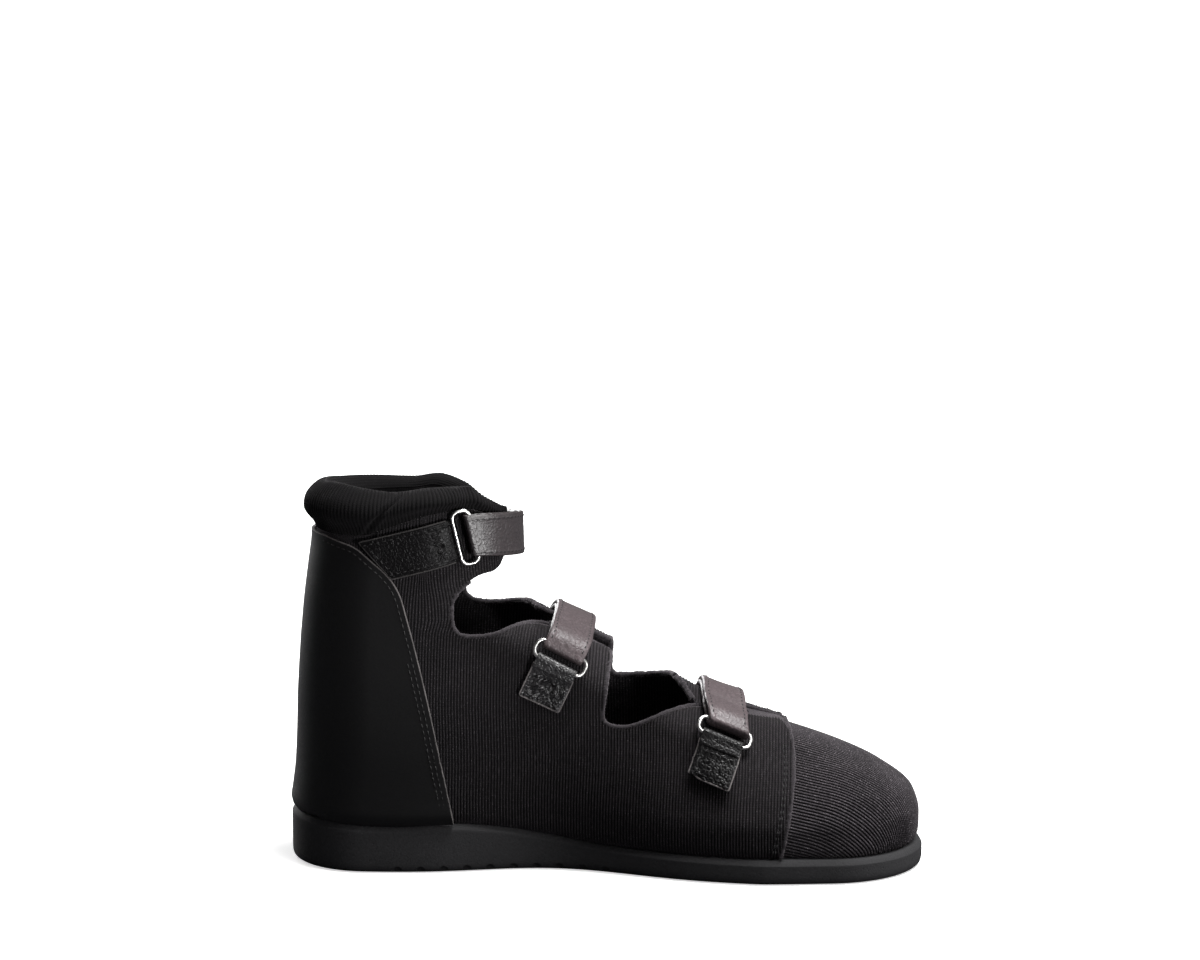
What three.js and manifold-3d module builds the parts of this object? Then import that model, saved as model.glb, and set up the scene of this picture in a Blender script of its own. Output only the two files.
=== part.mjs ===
// Orthopedic support shoe for the left foot, in millimetres, +Z up.
// X runs from heel to toe, +Y is the outer (lateral) side of the foot, and the rings are on the inner side.
// Stations along X are counted from the back of the sole; the last group moves the sole's middle to the origin.
import * as THREE from 'three';
import { mergeVertices } from 'three/addons/utils/BufferGeometryUtils.js';
import Module from 'manifold-3d';

const wasm = await Module();
wasm.setup();

// Driving sizes
const SOLE_LENGTH = 298;
const TOP_Z = 176;             // the skin is drawn up to here, then trimmed under the collar
const SEAT = 0.3;              // clearance between pieces that touch on the real shoe
const SOLE_SEAT = 0.5;         // the same under the upper, whose lower edge follows the sole
const KNIT = 2.4;              // knitted wall
const COUNTER_LEATHER = 1.6;
const STRAP_WIDTH = 20;
const STRAP_LEATHER = 2.2;
const CHAPE_LEATHER = 2.6;     // two layers sewn together
const CHAPE_LOOP = 1.2;        // single layer where it turns round the ring
const RING_WIRE = 1.8;
const RING_LENGTH = 27;
const RING_SPAN = 10;
const RING_CORNER = 3.3;
const TREAD_PITCH = 10.7;
const TREAD_GROOVE = 3.6;
const TREAD_DEPTH = 1.8;

// Layers counted outwards from the outer face of the vamp
const QUARTER = { inner: SEAT, outer: SEAT + KNIT };
const COUNTER_SEAT = QUARTER.outer + 0.75;
const COUNTER = { inner: COUNTER_SEAT, outer: COUNTER_SEAT + COUNTER_LEATHER };
const CHAPE_SEAT = QUARTER.outer + 0.8;
const STRAP_SEAT = QUARTER.outer + 0.9;
const WIRE = RING_WIRE / 2;
const CHAPE_BAR = CHAPE_SEAT + CHAPE_LOOP + SEAT + WIRE;
const STRAP_BAR = STRAP_SEAT + STRAP_LEATHER + SEAT + WIRE;
const BAR_SPACING = RING_SPAN - RING_WIRE;

// Plan outline of the skin at each height: a heel, a ball and a nose circle wrapped by a taut line.
// waist is how far the inner side is drawn in under the arch.
const LEVELS = table('z back heelR ballX ballIn ballOut front noseR noseY waist', [
  [6, 5.6, 35.6, 220, 51.5, 48.5, 296, 46, -4, 0.37],
  [24, 5.3, 35.6, 218, 51.5, 48.5, 296.5, 46, -4, 0.33],
  [35, 6, 35, 212, 48, 46, 293.5, 42, -4, 0.26],
  [47, 7, 34.4, 203, 43, 42, 279, 31, -4, 0.18],
  [56, 7.5, 34, 195, 39, 38, 260, 22, -3, 0.12],
  [66, 7.9, 33.5, 182, 35.5, 34.5, 231, 16, -3, 0.06],
  [77, 8.2, 33, 160, 33.5, 33, 196, 15, -3, 0.02],
  [91, 9, 32.5, 136, 33, 33, 169, 15, -2, 0],
  [104, 9.9, 32, 112, 33, 33, 144, 15, -1, 0],
  [113, 10.7, 31.7, 92, 33, 33, 122, 18, 0, 0],
  [124, 11.8, 31.3, 72, 32.5, 32.5, 105.5, 24, 0, 0],
  [140, 13.9, 30.8, 65, 31.5, 31.5, 102.5, 25, 0, 0],
  [155, 15.7, 30.6, 62, 31, 31, 102, 25, 0, 0],
  [190, 16, 30.6, 60, 31, 31, 101, 25, 0, 0],
]);
const WAIST = { x: 125, spread: 51, outerShare: 0.35 };

// Sole: its widest outline, the height of its top along the shoe, and its rounded side
const SOLE_PLAN = {
  back: 0,
  heelR: 40.5,
  ballX: 222,
  ballIn: 55,
  ballOut: 52,
  front: SOLE_LENGTH,
  noseR: 48,
  noseY: -4,
  waist: 0.375,
};
const SOLE_TOP = [
  { x: 0, z: 24 },
  { x: 50, z: 21.8 },
  { x: 78, z: 22.6 },
  { x: 100, z: 20.5 },
  { x: 124, z: 16.5 },
  { x: 150, z: 12.6 },
  { x: 180, z: 11.8 },
  { x: 230, z: 11.4 },
  { x: 298, z: 11.2 },
];
const SOLE_SIDE = [
  { share: 0, inset: 1.8 },
  { share: 0.12, inset: 0.4 },
  { share: 0.5, inset: 0 },
  { share: 0.84, inset: 0.3 },
  { share: 1, inset: 2 },
];
const TREAD_OPEN = { from: 58, to: 152, rim: 7 };

// Edges of the pieces in side view: corners, each eased over the given distance
const INNER_QUARTER_EDGE = [
  { x: 228, z: -5, ease: 0 },
  { x: 238, z: 46, ease: 24 },
  { x: 235.5, z: 67.5, ease: 7 },
  { x: 183, z: 78.6, ease: 12 },
  { x: 160, z: 68.3, ease: 9 },
  { x: 148, z: 71, ease: 5 },
  { x: 152, z: 102.5, ease: 4 },
  { x: 113, z: 117.5, ease: 10 },
  { x: 97, z: 111.5, ease: 7 },
  { x: 79.5, z: 111, ease: 8 },
  { x: 78.5, z: 129, ease: 6 },
  { x: 90, z: 138.5, ease: 5 },
  { x: 99.5, z: 139.5, ease: 4 },
  { x: 102.5, z: 147, ease: 3 },
  { x: 102.5, z: 200, ease: 0 },
];
const OUTER_QUARTER_EDGE = [
  { x: 206, z: -5, ease: 0 },
  { x: 222, z: 34, ease: 16 },
  { x: 231, z: 62, ease: 10 },
  { x: 229, z: 90, ease: 6 },
  { x: 190, z: 90, ease: 3 },
  { x: 174, z: 81, ease: 8 },
  { x: 149, z: 79, ease: 6 },
  { x: 151, z: 114, ease: 5 },
  { x: 124, z: 122, ease: 5 },
  { x: 110, z: 117.5, ease: 8 },
  { x: 94, z: 114, ease: 7 },
  { x: 79, z: 116, ease: 8 },
  { x: 78.5, z: 131, ease: 6 },
  { x: 90, z: 138.5, ease: 5 },
  { x: 97, z: 140, ease: 4 },
  { x: 99, z: 147, ease: 3 },
  { x: 99, z: 200, ease: 0 },
];
const COUNTER_EDGE = [
  { x: 81, z: -5, ease: 0 },
  { x: 79.5, z: 24, ease: 4 },
  { x: 65, z: 94, ease: 30 },
  { x: 54, z: 136, ease: 10 },
  { x: 34.5, z: 152.5, ease: 4 },
  { x: 18, z: 156.5, ease: 6 },
  { x: -20, z: 157, ease: 0 },
];
const VAMP_THROAT = [
  { x: 205, z: -5, ease: 0 },
  { x: 197, z: 60, ease: 10 },
  { x: 197, z: 200, ease: 0 },
];

// Collar: height of its seam and crest along each side, and its padded section
const COLLAR_SIDES = {
  inner: [
    { x: 10, seam: 157.5, crest: 179 },
    { x: 24, seam: 157.2, crest: 181 },
    { x: 38, seam: 158, crest: 179.5 },
    { x: 52, seam: 162.5, crest: 178 },
    { x: 70, seam: 168, crest: 180 },
    { x: 86, seam: 169.4, crest: 180 },
    { x: 91, seam: 168, crest: 175.5 },
    { x: 97, seam: 164.5, crest: 171 },
    { x: 102, seam: 162, crest: 167 },
  ],
  outer: [
    { x: 10, seam: 157.5, crest: 179 },
    { x: 22, seam: 158, crest: 178 },
    { x: 40, seam: 160, crest: 177 },
    { x: 56, seam: 163, crest: 176.5 },
    { x: 68, seam: 164, crest: 178 },
    { x: 80, seam: 163.5, crest: 174.5 },
    { x: 89, seam: 162, crest: 168 },
    { x: 98, seam: 160, crest: 164 },
  ],
};
const COLLAR_SECTION = [
  { rise: 0, out: 2.5 },
  { rise: 0.16, out: 4.6 },
  { rise: 0.4, out: 8.6 },
  { rise: 0.68, out: 8 },
  { rise: 0.9, out: 4 },
  { rise: 1, out: -0.5 },
  { rise: 0.92, out: -5 },
  { rise: 0.7, out: -7.8 },
  { rise: 0.4, out: -8 },
  { rise: 0.14, out: -5.5 },
  { rise: 0, out: -2 },
];
const COLLAR_LEVEL = 170;
const COLLAR_END = { inner: 0.94, outer: 0.86, thin: 0.35, taper: 0.3 };

// Straps, from the inner side to the outer side. x, z is the middle of the ring's fixed bar in side view;
// ringLean and strapLean are the run of the tab and of the strap above the horizontal, in degrees, and roll
// turns the strap's loop about its run, so that it drops or swings back on the outer side.
// hub is how far below the bar the strap's loop is centred, base and free are its under and upper layers,
// skew and tip slant the ends of the tab and of the strap.
const CLOSURES = table('name x z ringLean strapLean roll chape skew hub base free tip', [
  ['ankle', 81.3, 156, 14, 0, 8.5, 38.5, 0.55, 27, 93, 87, 0],
  ['instep', 127.3, 97.8, 65, 64, -2, 18.7, 0, 16, 93, 87, 0],
  ['forefoot', 203.8, 63.2, 70, 93, -5, 17.5, 0, 20, 83, 77, 6],
]);

function table(names, rows) {
  const columns = names.split(' ');
  return rows.map((row) => Object.fromEntries(columns.map((name, k) => [name, row[k]])));
}

const DEGREE = Math.PI / 180;
const FAR = 140;               // past the shoe from anywhere inside it
const smooth = (from, to, at) => THREE.MathUtils.smoothstep(at, from, to);

// Value of a table's column at a place along its axis: a cubic that doesn't overshoot its rows
function along(rows, axis, name, at) {
  const last = rows.length - 1;
  const place = THREE.MathUtils.clamp(at, rows[0][axis], rows[last][axis]);
  let i = 0;
  while (i < last - 1 && place > rows[i + 1][axis]) {
    i += 1;
  }
  const slope = (k) => (rows[k + 1][name] - rows[k][name]) / (rows[k + 1][axis] - rows[k][axis]);
  const tangent = (k) => {
    if (k === 0 || k === last) {
      return slope(Math.min(k, last - 1));
    }
    const before = slope(k - 1);
    const after = slope(k);
    return before * after <= 0 ? 0 : 2 * before * after / (before + after);
  };
  const step = rows[i + 1][axis] - rows[i][axis];
  const t = (place - rows[i][axis]) / step;
  const rise = t * t * (3 - 2 * t);
  const ends = t * (1 - t) * step;
  return rows[i][name] * (1 - rise) + rows[i + 1][name] * rise
    + ends * ((1 - t) * tangent(i) - t * tangent(i + 1));
}

const soleTop = (x) => along(SOLE_TOP, 'x', 'z', x);

// Plan outlines
function withCircles(plan) {
  const circles = [
    { x: plan.back + plan.heelR, y: 0, r: plan.heelR },
    { x: plan.ballX, y: (plan.ballOut - plan.ballIn) / 2, r: (plan.ballOut + plan.ballIn) / 2 },
    { x: plan.front - plan.noseR, y: plan.noseY, r: plan.noseR },
  ];
  return { ...plan, circles, half: {} };
}

const levelStore = new Map();
function levelAt(z) {
  const key = z.toFixed(3);
  if (!levelStore.has(key)) {
    const columns = Object.keys(LEVELS[0]).filter((name) => name !== 'z');
    const plan = Object.fromEntries(columns.map((name) => [name, along(LEVELS, 'z', name, z)]));
    levelStore.set(key, withCircles(plan));
  }
  return levelStore.get(key);
}

// Share of the taut outline's width that is left at x on the side of y
function drawnIn(plan, x, y) {
  const near = Math.exp(-(((x - WAIST.x) / WAIST.spread) ** 2));
  return 1 - plan.waist * near * (y < 0 ? 1 : WAIST.outerShare);
}

function support(plan, angle) {
  const cos = Math.cos(angle);
  const sin = Math.sin(angle);
  return plan.circles.reduce((best, circle) => {
    const reach = circle.x * cos + circle.y * sin + circle.r;
    return reach > best.reach ? { reach, x: circle.x + circle.r * cos, y: circle.y + circle.r * sin } : best;
  }, { reach: -Infinity });
}

// Half outline from the back of the heel to the tip of the toe, side -1 inner, +1 outer
function halfOutline(plan, side) {
  if (plan.half[side]) {
    return plan.half[side];
  }
  const turns = 120;
  const longest = 3;
  const points = [];
  for (let k = 0; k <= turns; k += 1) {
    const next = support(plan, Math.PI - side * Math.PI * k / turns);
    const prior = points.at(-1) ?? next;
    const parts = Math.max(1, Math.ceil(Math.hypot(next.x - prior.x, next.y - prior.y) / longest));
    for (let p = 1; p <= parts; p += 1) {
      const t = p / parts;
      points.push({ x: prior.x + (next.x - prior.x) * t, y: prior.y + (next.y - prior.y) * t });
    }
  }
  points.forEach((point) => {
    point.y *= drawnIn(plan, point.x, side);
  });
  let run = 0;
  points.forEach((point, k) => {
    run += k ? Math.hypot(point.x - points[k - 1].x, point.y - points[k - 1].y) : 0;
    point.run = run;
  });
  plan.half[side] = points;
  return points;
}

function outlinePoint(plan, side, share) {
  const points = halfOutline(plan, side);
  const run = share * points.at(-1).run;
  let k = 1;
  while (k < points.length - 1 && points[k].run < run) {
    k += 1;
  }
  const t = (run - points[k - 1].run) / (points[k].run - points[k - 1].run || 1);
  return {
    x: THREE.MathUtils.lerp(points[k - 1].x, points[k].x, t),
    y: THREE.MathUtils.lerp(points[k - 1].y, points[k].y, t),
  };
}

// Distance in plan from the skin, negative inside it
function outside(x, y, z) {
  const plan = levelAt(z);
  const taut = y / drawnIn(plan, x, y);
  const reach = (angle) => x * Math.cos(angle) + taut * Math.sin(angle) - support(plan, angle).reach;
  const coarse = 5 * DEGREE;
  const refinements = 22;
  let best = 0;
  for (let angle = 0; angle < 2 * Math.PI; angle += coarse) {
    best = reach(angle) > reach(best) ? angle : best;
  }
  let low = best - coarse;
  let high = best + coarse;
  for (let k = 0; k < refinements; k += 1) {
    const third = (high - low) / 3;
    if (reach(low + third) < reach(high - third)) {
      low += third;
    } else {
      high -= third;
    }
  }
  return reach((low + high) / 2);
}

function normalAt(p) {
  const nudge = 0.05;
  return new THREE.Vector3(
    outside(p.x + nudge, p.y, p.z) - outside(p.x - nudge, p.y, p.z),
    outside(p.x, p.y + nudge, p.z) - outside(p.x, p.y - nudge, p.z),
    outside(p.x, p.y, p.z + nudge) - outside(p.x, p.y, p.z - nudge),
  ).normalize();
}

// Where a ray from inside the shoe leaves the skin
function castOut(from, direction) {
  const halvings = 40;
  let low = 0;
  let high = FAR;
  for (let k = 0; k < halvings; k += 1) {
    const middle = (low + high) / 2;
    const p = from.clone().addScaledVector(direction, middle);
    if (outside(p.x, p.y, p.z) < 0) {
      low = middle;
    } else {
      high = middle;
    }
  }
  return from.clone().addScaledVector(direction, high);
}

// Closed solid between two grids of points, columns by rows, with rims all round
function slab(outer, inner) {
  const columns = outer.length;
  const rows = outer[0].length;
  const vertices = [...outer.flat(), ...inner.flat()].flatMap((p) => [p.x, p.y, p.z]);
  const out = (i, j) => i * rows + j;
  const into = (i, j) => columns * rows + i * rows + j;
  const index = [];
  const quad = (a, b, c, d) => index.push(a, b, c, a, c, d);
  for (let i = 0; i + 1 < columns; i += 1) {
    for (let j = 0; j + 1 < rows; j += 1) {
      quad(out(i, j), out(i + 1, j), out(i + 1, j + 1), out(i, j + 1));
      quad(into(i, j), into(i, j + 1), into(i + 1, j + 1), into(i + 1, j));
    }
    quad(into(i, 0), into(i + 1, 0), out(i + 1, 0), out(i, 0));
    quad(out(i, rows - 1), out(i + 1, rows - 1), into(i + 1, rows - 1), into(i, rows - 1));
  }
  for (let j = 0; j + 1 < rows; j += 1) {
    quad(into(0, j), out(0, j), out(0, j + 1), into(0, j + 1));
    quad(out(columns - 1, j), into(columns - 1, j), into(columns - 1, j + 1), out(columns - 1, j + 1));
  }
  return facets(vertices, index);
}

// Closed solid from rings of points, each joined to the next, with both ends closed or the loop joined
function loft(rings, joined) {
  const size = rings[0].length;
  const vertices = rings.flat().flatMap((p) => [p.x, p.y, p.z]);
  const index = [];
  const spans = joined ? rings.length : rings.length - 1;
  for (let i = 0; i < spans; i += 1) {
    const here = i * size;
    const next = ((i + 1) % rings.length) * size;
    for (let k = 0; k < size; k += 1) {
      const m = (k + 1) % size;
      index.push(here + k, here + m, next + m, here + k, next + m, next + k);
    }
  }
  if (!joined) {
    const end = (rings.length - 1) * size;
    for (let k = 1; k + 1 < size; k += 1) {
      index.push(0, k + 1, k, end, end + k, end + k + 1);
    }
  }
  return facets(vertices, index);
}

function facets(vertices, index) {
  const geometry = new THREE.BufferGeometry();
  geometry.setAttribute('position', new THREE.Float32BufferAttribute(vertices, 3));
  geometry.setIndex(index);
  if (volume(geometry) < 0) {
    geometry.setIndex(index.reverse());
  }
  return geometry;
}

function volume(geometry) {
  const position = geometry.attributes.position;
  const corner = (k) => new THREE.Vector3().fromBufferAttribute(position, geometry.index.getX(k));
  let sum = 0;
  for (let k = 0; k < geometry.index.count; k += 3) {
    sum += corner(k).dot(corner(k + 1).cross(corner(k + 2)));
  }
  return sum / 6;
}

// Cuts and joins
function solid(geometry) {
  const bare = geometry.clone();
  bare.deleteAttribute('normal');
  bare.deleteAttribute('uv');
  const merged = mergeVertices(bare, 1e-4);
  return new wasm.Manifold(new wasm.Mesh({
    numProp: 3,
    vertProperties: Float32Array.from(merged.attributes.position.array),
    triVerts: Uint32Array.from(merged.index.array),
  }));
}

function surface(body) {
  const mesh = body.getMesh();
  const geometry = new THREE.BufferGeometry();
  geometry.setAttribute('position', new THREE.BufferAttribute(Float32Array.from(mesh.vertProperties), 3));
  geometry.setIndex(new THREE.BufferAttribute(Uint32Array.from(mesh.triVerts), 1));
  return geometry;
}

// Block with a side-view outline, from y = low to y = high
function sideBlock(corners, low, high) {
  const shape = new THREE.Shape();
  corners.forEach((corner, k) => {
    const at = new THREE.Vector2(corner.x, corner.z);
    const towards = (other) => {
      const way = new THREE.Vector2(other.x, other.z).sub(at);
      return at.clone().addScaledVector(way, Math.min(corner.ease / way.length(), 0.5));
    };
    const start = towards(corners.at(k - 1));
    const end = towards(corners[(k + 1) % corners.length]);
    if (k === 0) {
      shape.moveTo(start.x, start.y);
    } else {
      shape.lineTo(start.x, start.y);
    }
    if (corner.ease > 0) {
      shape.quadraticCurveTo(at.x, at.y, end.x, end.y);
    }
  });
  const depth = high - low;
  const geometry = new THREE.ExtrudeGeometry(shape, { depth, bevelEnabled: false, curveSegments: 5 });
  geometry.rotateX(Math.PI / 2);
  geometry.translate(0, high, 0);
  return solid(geometry);
}

// Outlines closed round the heel, behind their edge, or round the toe, in front of it
const BEYOND = { back: -40, toe: 340, below: -5, above: 200 };
const behind = (edge) => [
  { x: BEYOND.back, z: BEYOND.below, ease: 0 },
  ...edge,
  { x: BEYOND.back, z: edge.at(-1).z, ease: 0 },
];
const before = (edge) => [
  { x: BEYOND.toe, z: edge.at(-1).z, ease: 0 },
  { x: BEYOND.toe, z: BEYOND.below, ease: 0 },
  ...edge,
];
const box = (back, front, low, high) => [[back, low], [front, low], [front, high], [back, high]]
  .map(([x, z]) => ({ x, z, ease: 0 }));
const raised = (corners, lift) => corners.map((corner) => ({ ...corner, z: corner.z + lift }));

// Columns of the skin's grid, closest at the heel and at the front, and its rows up each column
const COLUMNS = 25;
const CROWDING = 0.046;
const SHARES = Array.from({ length: COLUMNS + 1 }, (_, k) => {
  const t = k / COLUMNS;
  return t - CROWDING * Math.sin(2 * Math.PI * t);
});
const ROW_HEIGHTS = [16, 25, 34, 42, 49, 56, 63, 71, 80, 90, 100, 108, 115, 124, 139, 155, TOP_Z];
const LOWEST_PLAN = 12;
const TUCK = [{ rise: 0, by: 1.6 }, { rise: 4, by: 0.3 }, { rise: 9, by: 0 }];

function skinColumn(side, share) {
  const foot = outlinePoint(levelAt(LOWEST_PLAN), side, share);
  const bottom = soleTop(foot.x) + SOLE_SEAT;
  const lowest = ROW_HEIGHTS[0];
  const heights = ROW_HEIGHTS.map((z) => bottom + (z - lowest) * (TOP_Z - bottom) / (TOP_Z - lowest));
  return heights.map((z) => {
    const plan = outlinePoint(levelAt(z), side, share);
    const point = new THREE.Vector3(plan.x, plan.y, z);
    const normal = normalAt(point);
    const flat = new THREE.Vector3(normal.x, normal.y, 0).normalize();
    point.addScaledVector(flat, -along(TUCK, 'rise', 'by', z - bottom));
    return { point, normal };
  });
}

const columnStore = new Map();
function column(side, share) {
  const name = `${side}/${share}`;
  if (!columnStore.has(name)) {
    columnStore.set(name, skinColumn(side, share));
  }
  return columnStore.get(name);
}

// Wall over part of the skin: columns run from the heel along the inner side to the toe and back outside
function wall(columns, inner, outer, rowUsed = () => true) {
  const grid = columns.map(({ side, share }) => column(side, share).filter((_, k) => rowUsed(k)));
  const raise = (by) => ({ point, normal }) => point.clone().addScaledVector(normal, by);
  const offset = (by) => grid.map((rows) => rows.map(raise(by)));
  return solid(slab(offset(outer), offset(inner)));
}

// The columns at the heel's back and the toe's tip belong to the inner side
const BACK = 0;
const TIP = 1;
const innerSide = (from, to) => SHARES.filter((share) => share >= from && share <= to)
  .map((share) => ({ side: -1, share }));
const outerSide = (from, to) => SHARES.filter((share) => share > from && share < to).reverse()
  .map((share) => ({ side: 1, share }));

// Sole block
function outsole() {
  const plan = withCircles(SOLE_PLAN);
  const around = [...innerSide(BACK, TIP), ...outerSide(BACK, TIP)];
  const rings = SOLE_SIDE.map(({ share, inset }) => around.map((at) => {
    const edge = outlinePoint(plan, at.side, at.share);
    const spine = THREE.MathUtils.clamp(edge.x, SOLE_PLAN.heelR, SOLE_LENGTH - SOLE_PLAN.noseR);
    const centre = new THREE.Vector2(spine, SOLE_PLAN.noseY / 2);
    const inward = centre.sub(new THREE.Vector2(edge.x, edge.y)).normalize();
    const x = edge.x + inward.x * inset;
    return new THREE.Vector3(x, edge.y + inward.y * inset, soleTop(edge.x) * share);
  }));
  const size = around.length;
  const vertices = rings.flat().flatMap((p) => [p.x, p.y, p.z]);
  const index = [];
  for (let i = 0; i + 1 < rings.length; i += 1) {
    for (let k = 0; k < size; k += 1) {
      const m = (k + 1) % size;
      index.push(i * size + k, i * size + m, (i + 1) * size + m);
      index.push(i * size + k, (i + 1) * size + m, (i + 1) * size + k);
    }
  }
  const roof = (rings.length - 1) * size;
  const across = (k) => (size - k) % size;
  for (let k = 0; 2 * k < size; k += 1) {
    const strip = [k, k + 1, across(k + 1), across(k)];
    for (const [a, b, c] of [[0, 1, 2], [0, 2, 3]]) {
      const face = [strip[a], strip[b], strip[c]];
      if (new Set(face).size === 3) {
        index.push(roof + face[0], roof + face[1], roof + face[2]);
        index.push(face[0], face[2], face[1]);
      }
    }
  }
  let body = solid(facets(vertices, index));
  for (let x = TREAD_PITCH; x < SOLE_LENGTH - TREAD_PITCH; x += TREAD_PITCH) {
    const open = x > TREAD_OPEN.from && x < TREAD_OPEN.to;
    const reach = (side) => {
      const points = halfOutline(plan, side);
      const edge = points.reduce((a, b) => (Math.abs(b.x - x) < Math.abs(a.x - x) ? b : a));
      return edge.y + side * (open ? TREAD_OPEN.rim : -TREAD_OPEN.rim);
    };
    const low = reach(-1);
    const high = reach(1);
    if (high - low > 2 * TREAD_OPEN.rim) {
      const groove = new THREE.BoxGeometry(TREAD_GROOVE, high - low, 2 * TREAD_DEPTH);
      groove.translate(x, (low + high) / 2, 0);
      body = body.subtract(solid(groove));
    }
  }
  return surface(body);
}

// Knitted and leather walls
const COLLAR_GAP = 0.8;
const MIDDLE_GAP = 0.2;        // half of the gap between the quarters behind the heel

function collarSeam(side, x) {
  return along(side < 0 ? COLLAR_SIDES.inner : COLLAR_SIDES.outer, 'x', 'seam', x);
}

// Everything above the collar's seam on one side
function aboveSeam(side, low, high) {
  const stations = (side < 0 ? COLLAR_SIDES.inner : COLLAR_SIDES.outer).map(({ x }) => x);
  const seam = stations.map((x) => ({ x, z: collarSeam(side, x) - COLLAR_GAP, ease: 0 }));
  const start = { x: BEYOND.back, z: seam[0].z, ease: 0 };
  const end = { x: BEYOND.toe, z: seam.at(-1).z, ease: 0 };
  const over = [{ x: BEYOND.toe, z: BEYOND.above, ease: 0 }, { x: BEYOND.back, z: BEYOND.above, ease: 0 }];
  return sideBlock([start, ...seam, end, ...over], low, high);
}

function innerQuarter() {
  const shape = sideBlock(behind(INNER_QUARTER_EDGE), -FAR, -MIDDLE_GAP);
  return surface(wall(innerSide(BACK, TIP), QUARTER.inner, QUARTER.outer)
    .intersect(shape)
    .subtract(aboveSeam(-1, -FAR, FAR)));
}

// The outer tabs reach over the instep to the edge of the inner ones
const TAB_GAP = 0.8;
const TAB_REACH = 0.86;
const ANKLE_OPENING = { x: 40, z: 130 };
const OUTER_TAB_BACKS = [
  { x: 117, z: 118, turn: 15 },
  { x: 182, z: 82, turn: 25 },
];
const TAB_CUT = { length: 30, width: 60, height: 20 };

function outerQuarter() {
  const columns = [...innerSide(TAB_REACH, TIP), ...outerSide(BACK, TIP), { side: 1, share: BACK }];
  const shape = sideBlock(behind(OUTER_QUARTER_EDGE), -FAR, FAR);
  const innerEdge = sideBlock(raised(behind(INNER_QUARTER_EDGE), TAB_GAP), -FAR, MIDDLE_GAP);
  const opening = box(ANKLE_OPENING.x, BEYOND.toe, ANKLE_OPENING.z, BEYOND.above);
  const frontGap = sideBlock(opening, -FAR, MIDDLE_GAP);
  const body = wall(columns, QUARTER.inner, QUARTER.outer)
    .intersect(shape)
    .subtract(innerEdge)
    .subtract(frontGap)
    .subtract(aboveSeam(1, -FAR, FAR));
  return surface(OUTER_TAB_BACKS.reduce((left, { x, z, turn }) => {
    const cut = new THREE.BoxGeometry(TAB_CUT.length, TAB_CUT.width, TAB_CUT.height);
    cut.translate(-TAB_CUT.length / 2, 0, 0);
    cut.rotateZ(turn * DEGREE);
    cut.translate(x, 0, z);
    return left.subtract(solid(cut));
  }, body));
}

const COUNTER_REACH = 0.56;
function heelCounter() {
  const columns = [...outerSide(BACK, COUNTER_REACH), ...innerSide(BACK, COUNTER_REACH)];
  const evenAboveTuck = (k) => k < 2 || k % 2 === 0;
  return surface(wall(columns, COUNTER.inner, COUNTER.outer, evenAboveTuck)
    .intersect(sideBlock(behind(COUNTER_EDGE), -FAR, FAR)));
}

const VAMP_REACH = 0.4;
function vamp() {
  const columns = [...innerSide(VAMP_REACH, TIP), ...outerSide(VAMP_REACH, TIP)];
  return surface(wall(columns, -KNIT, 0).intersect(sideBlock(before(VAMP_THROAT), -FAR, FAR)));
}

// Padded roll round the top, open over the instep
function collar() {
  const shares = SHARES.slice(1);
  const ways = [
    ...shares.map((share) => ({ side: 1, share: share * COLLAR_END.outer })).reverse(),
    { side: -1, share: BACK },
    ...shares.map((share) => ({ side: -1, share: share * COLLAR_END.inner })),
  ];
  const plan = levelAt(COLLAR_LEVEL);
  const rings = ways.map(({ side, share }) => {
    const foot = outlinePoint(plan, side, share);
    const point = new THREE.Vector3(foot.x, foot.y, COLLAR_LEVEL);
    const normal = normalAt(point).setZ(0).normalize();
    const rows = side < 0 ? COLLAR_SIDES.inner : COLLAR_SIDES.outer;
    const seam = along(rows, 'x', 'seam', foot.x);
    const crest = along(rows, 'x', 'crest', foot.x);
    const last = side < 0 ? COLLAR_END.inner : COLLAR_END.outer;
    const full = smooth(0, COLLAR_END.taper, last - share);
    const thick = THREE.MathUtils.lerp(COLLAR_END.thin, 1, full);
    return COLLAR_SECTION.map(({ rise, out }) => {
      const by = out > 0 ? QUARTER.outer + (out - QUARTER.outer) * full : out * thick;
      return point.clone().addScaledVector(normal, by).setZ(THREE.MathUtils.lerp(seam, crest, rise));
    });
  });
  return loft(rings, false);
}

// Straps, their tabs and rings
const sideView = (x, z) => new THREE.Vector3(x, 0, z);
const leaning = (degrees) => sideView(Math.cos(degrees * DEGREE), Math.sin(degrees * DEGREE));
const INNER_SIDE = new THREE.Vector3(0, -1, 0);

// Point of the skin that shows at x, z in side view once it is raised by a height
function seatAt(place, height) {
  const rounds = 4;
  let point = castOut(place, INNER_SIDE);
  for (let k = 0; k < rounds; k += 1) {
    const lean = normalAt(point).multiplyScalar(height);
    point = castOut(sideView(place.x - lean.x, place.z - lean.z), INNER_SIDE);
  }
  return point;
}

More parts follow.
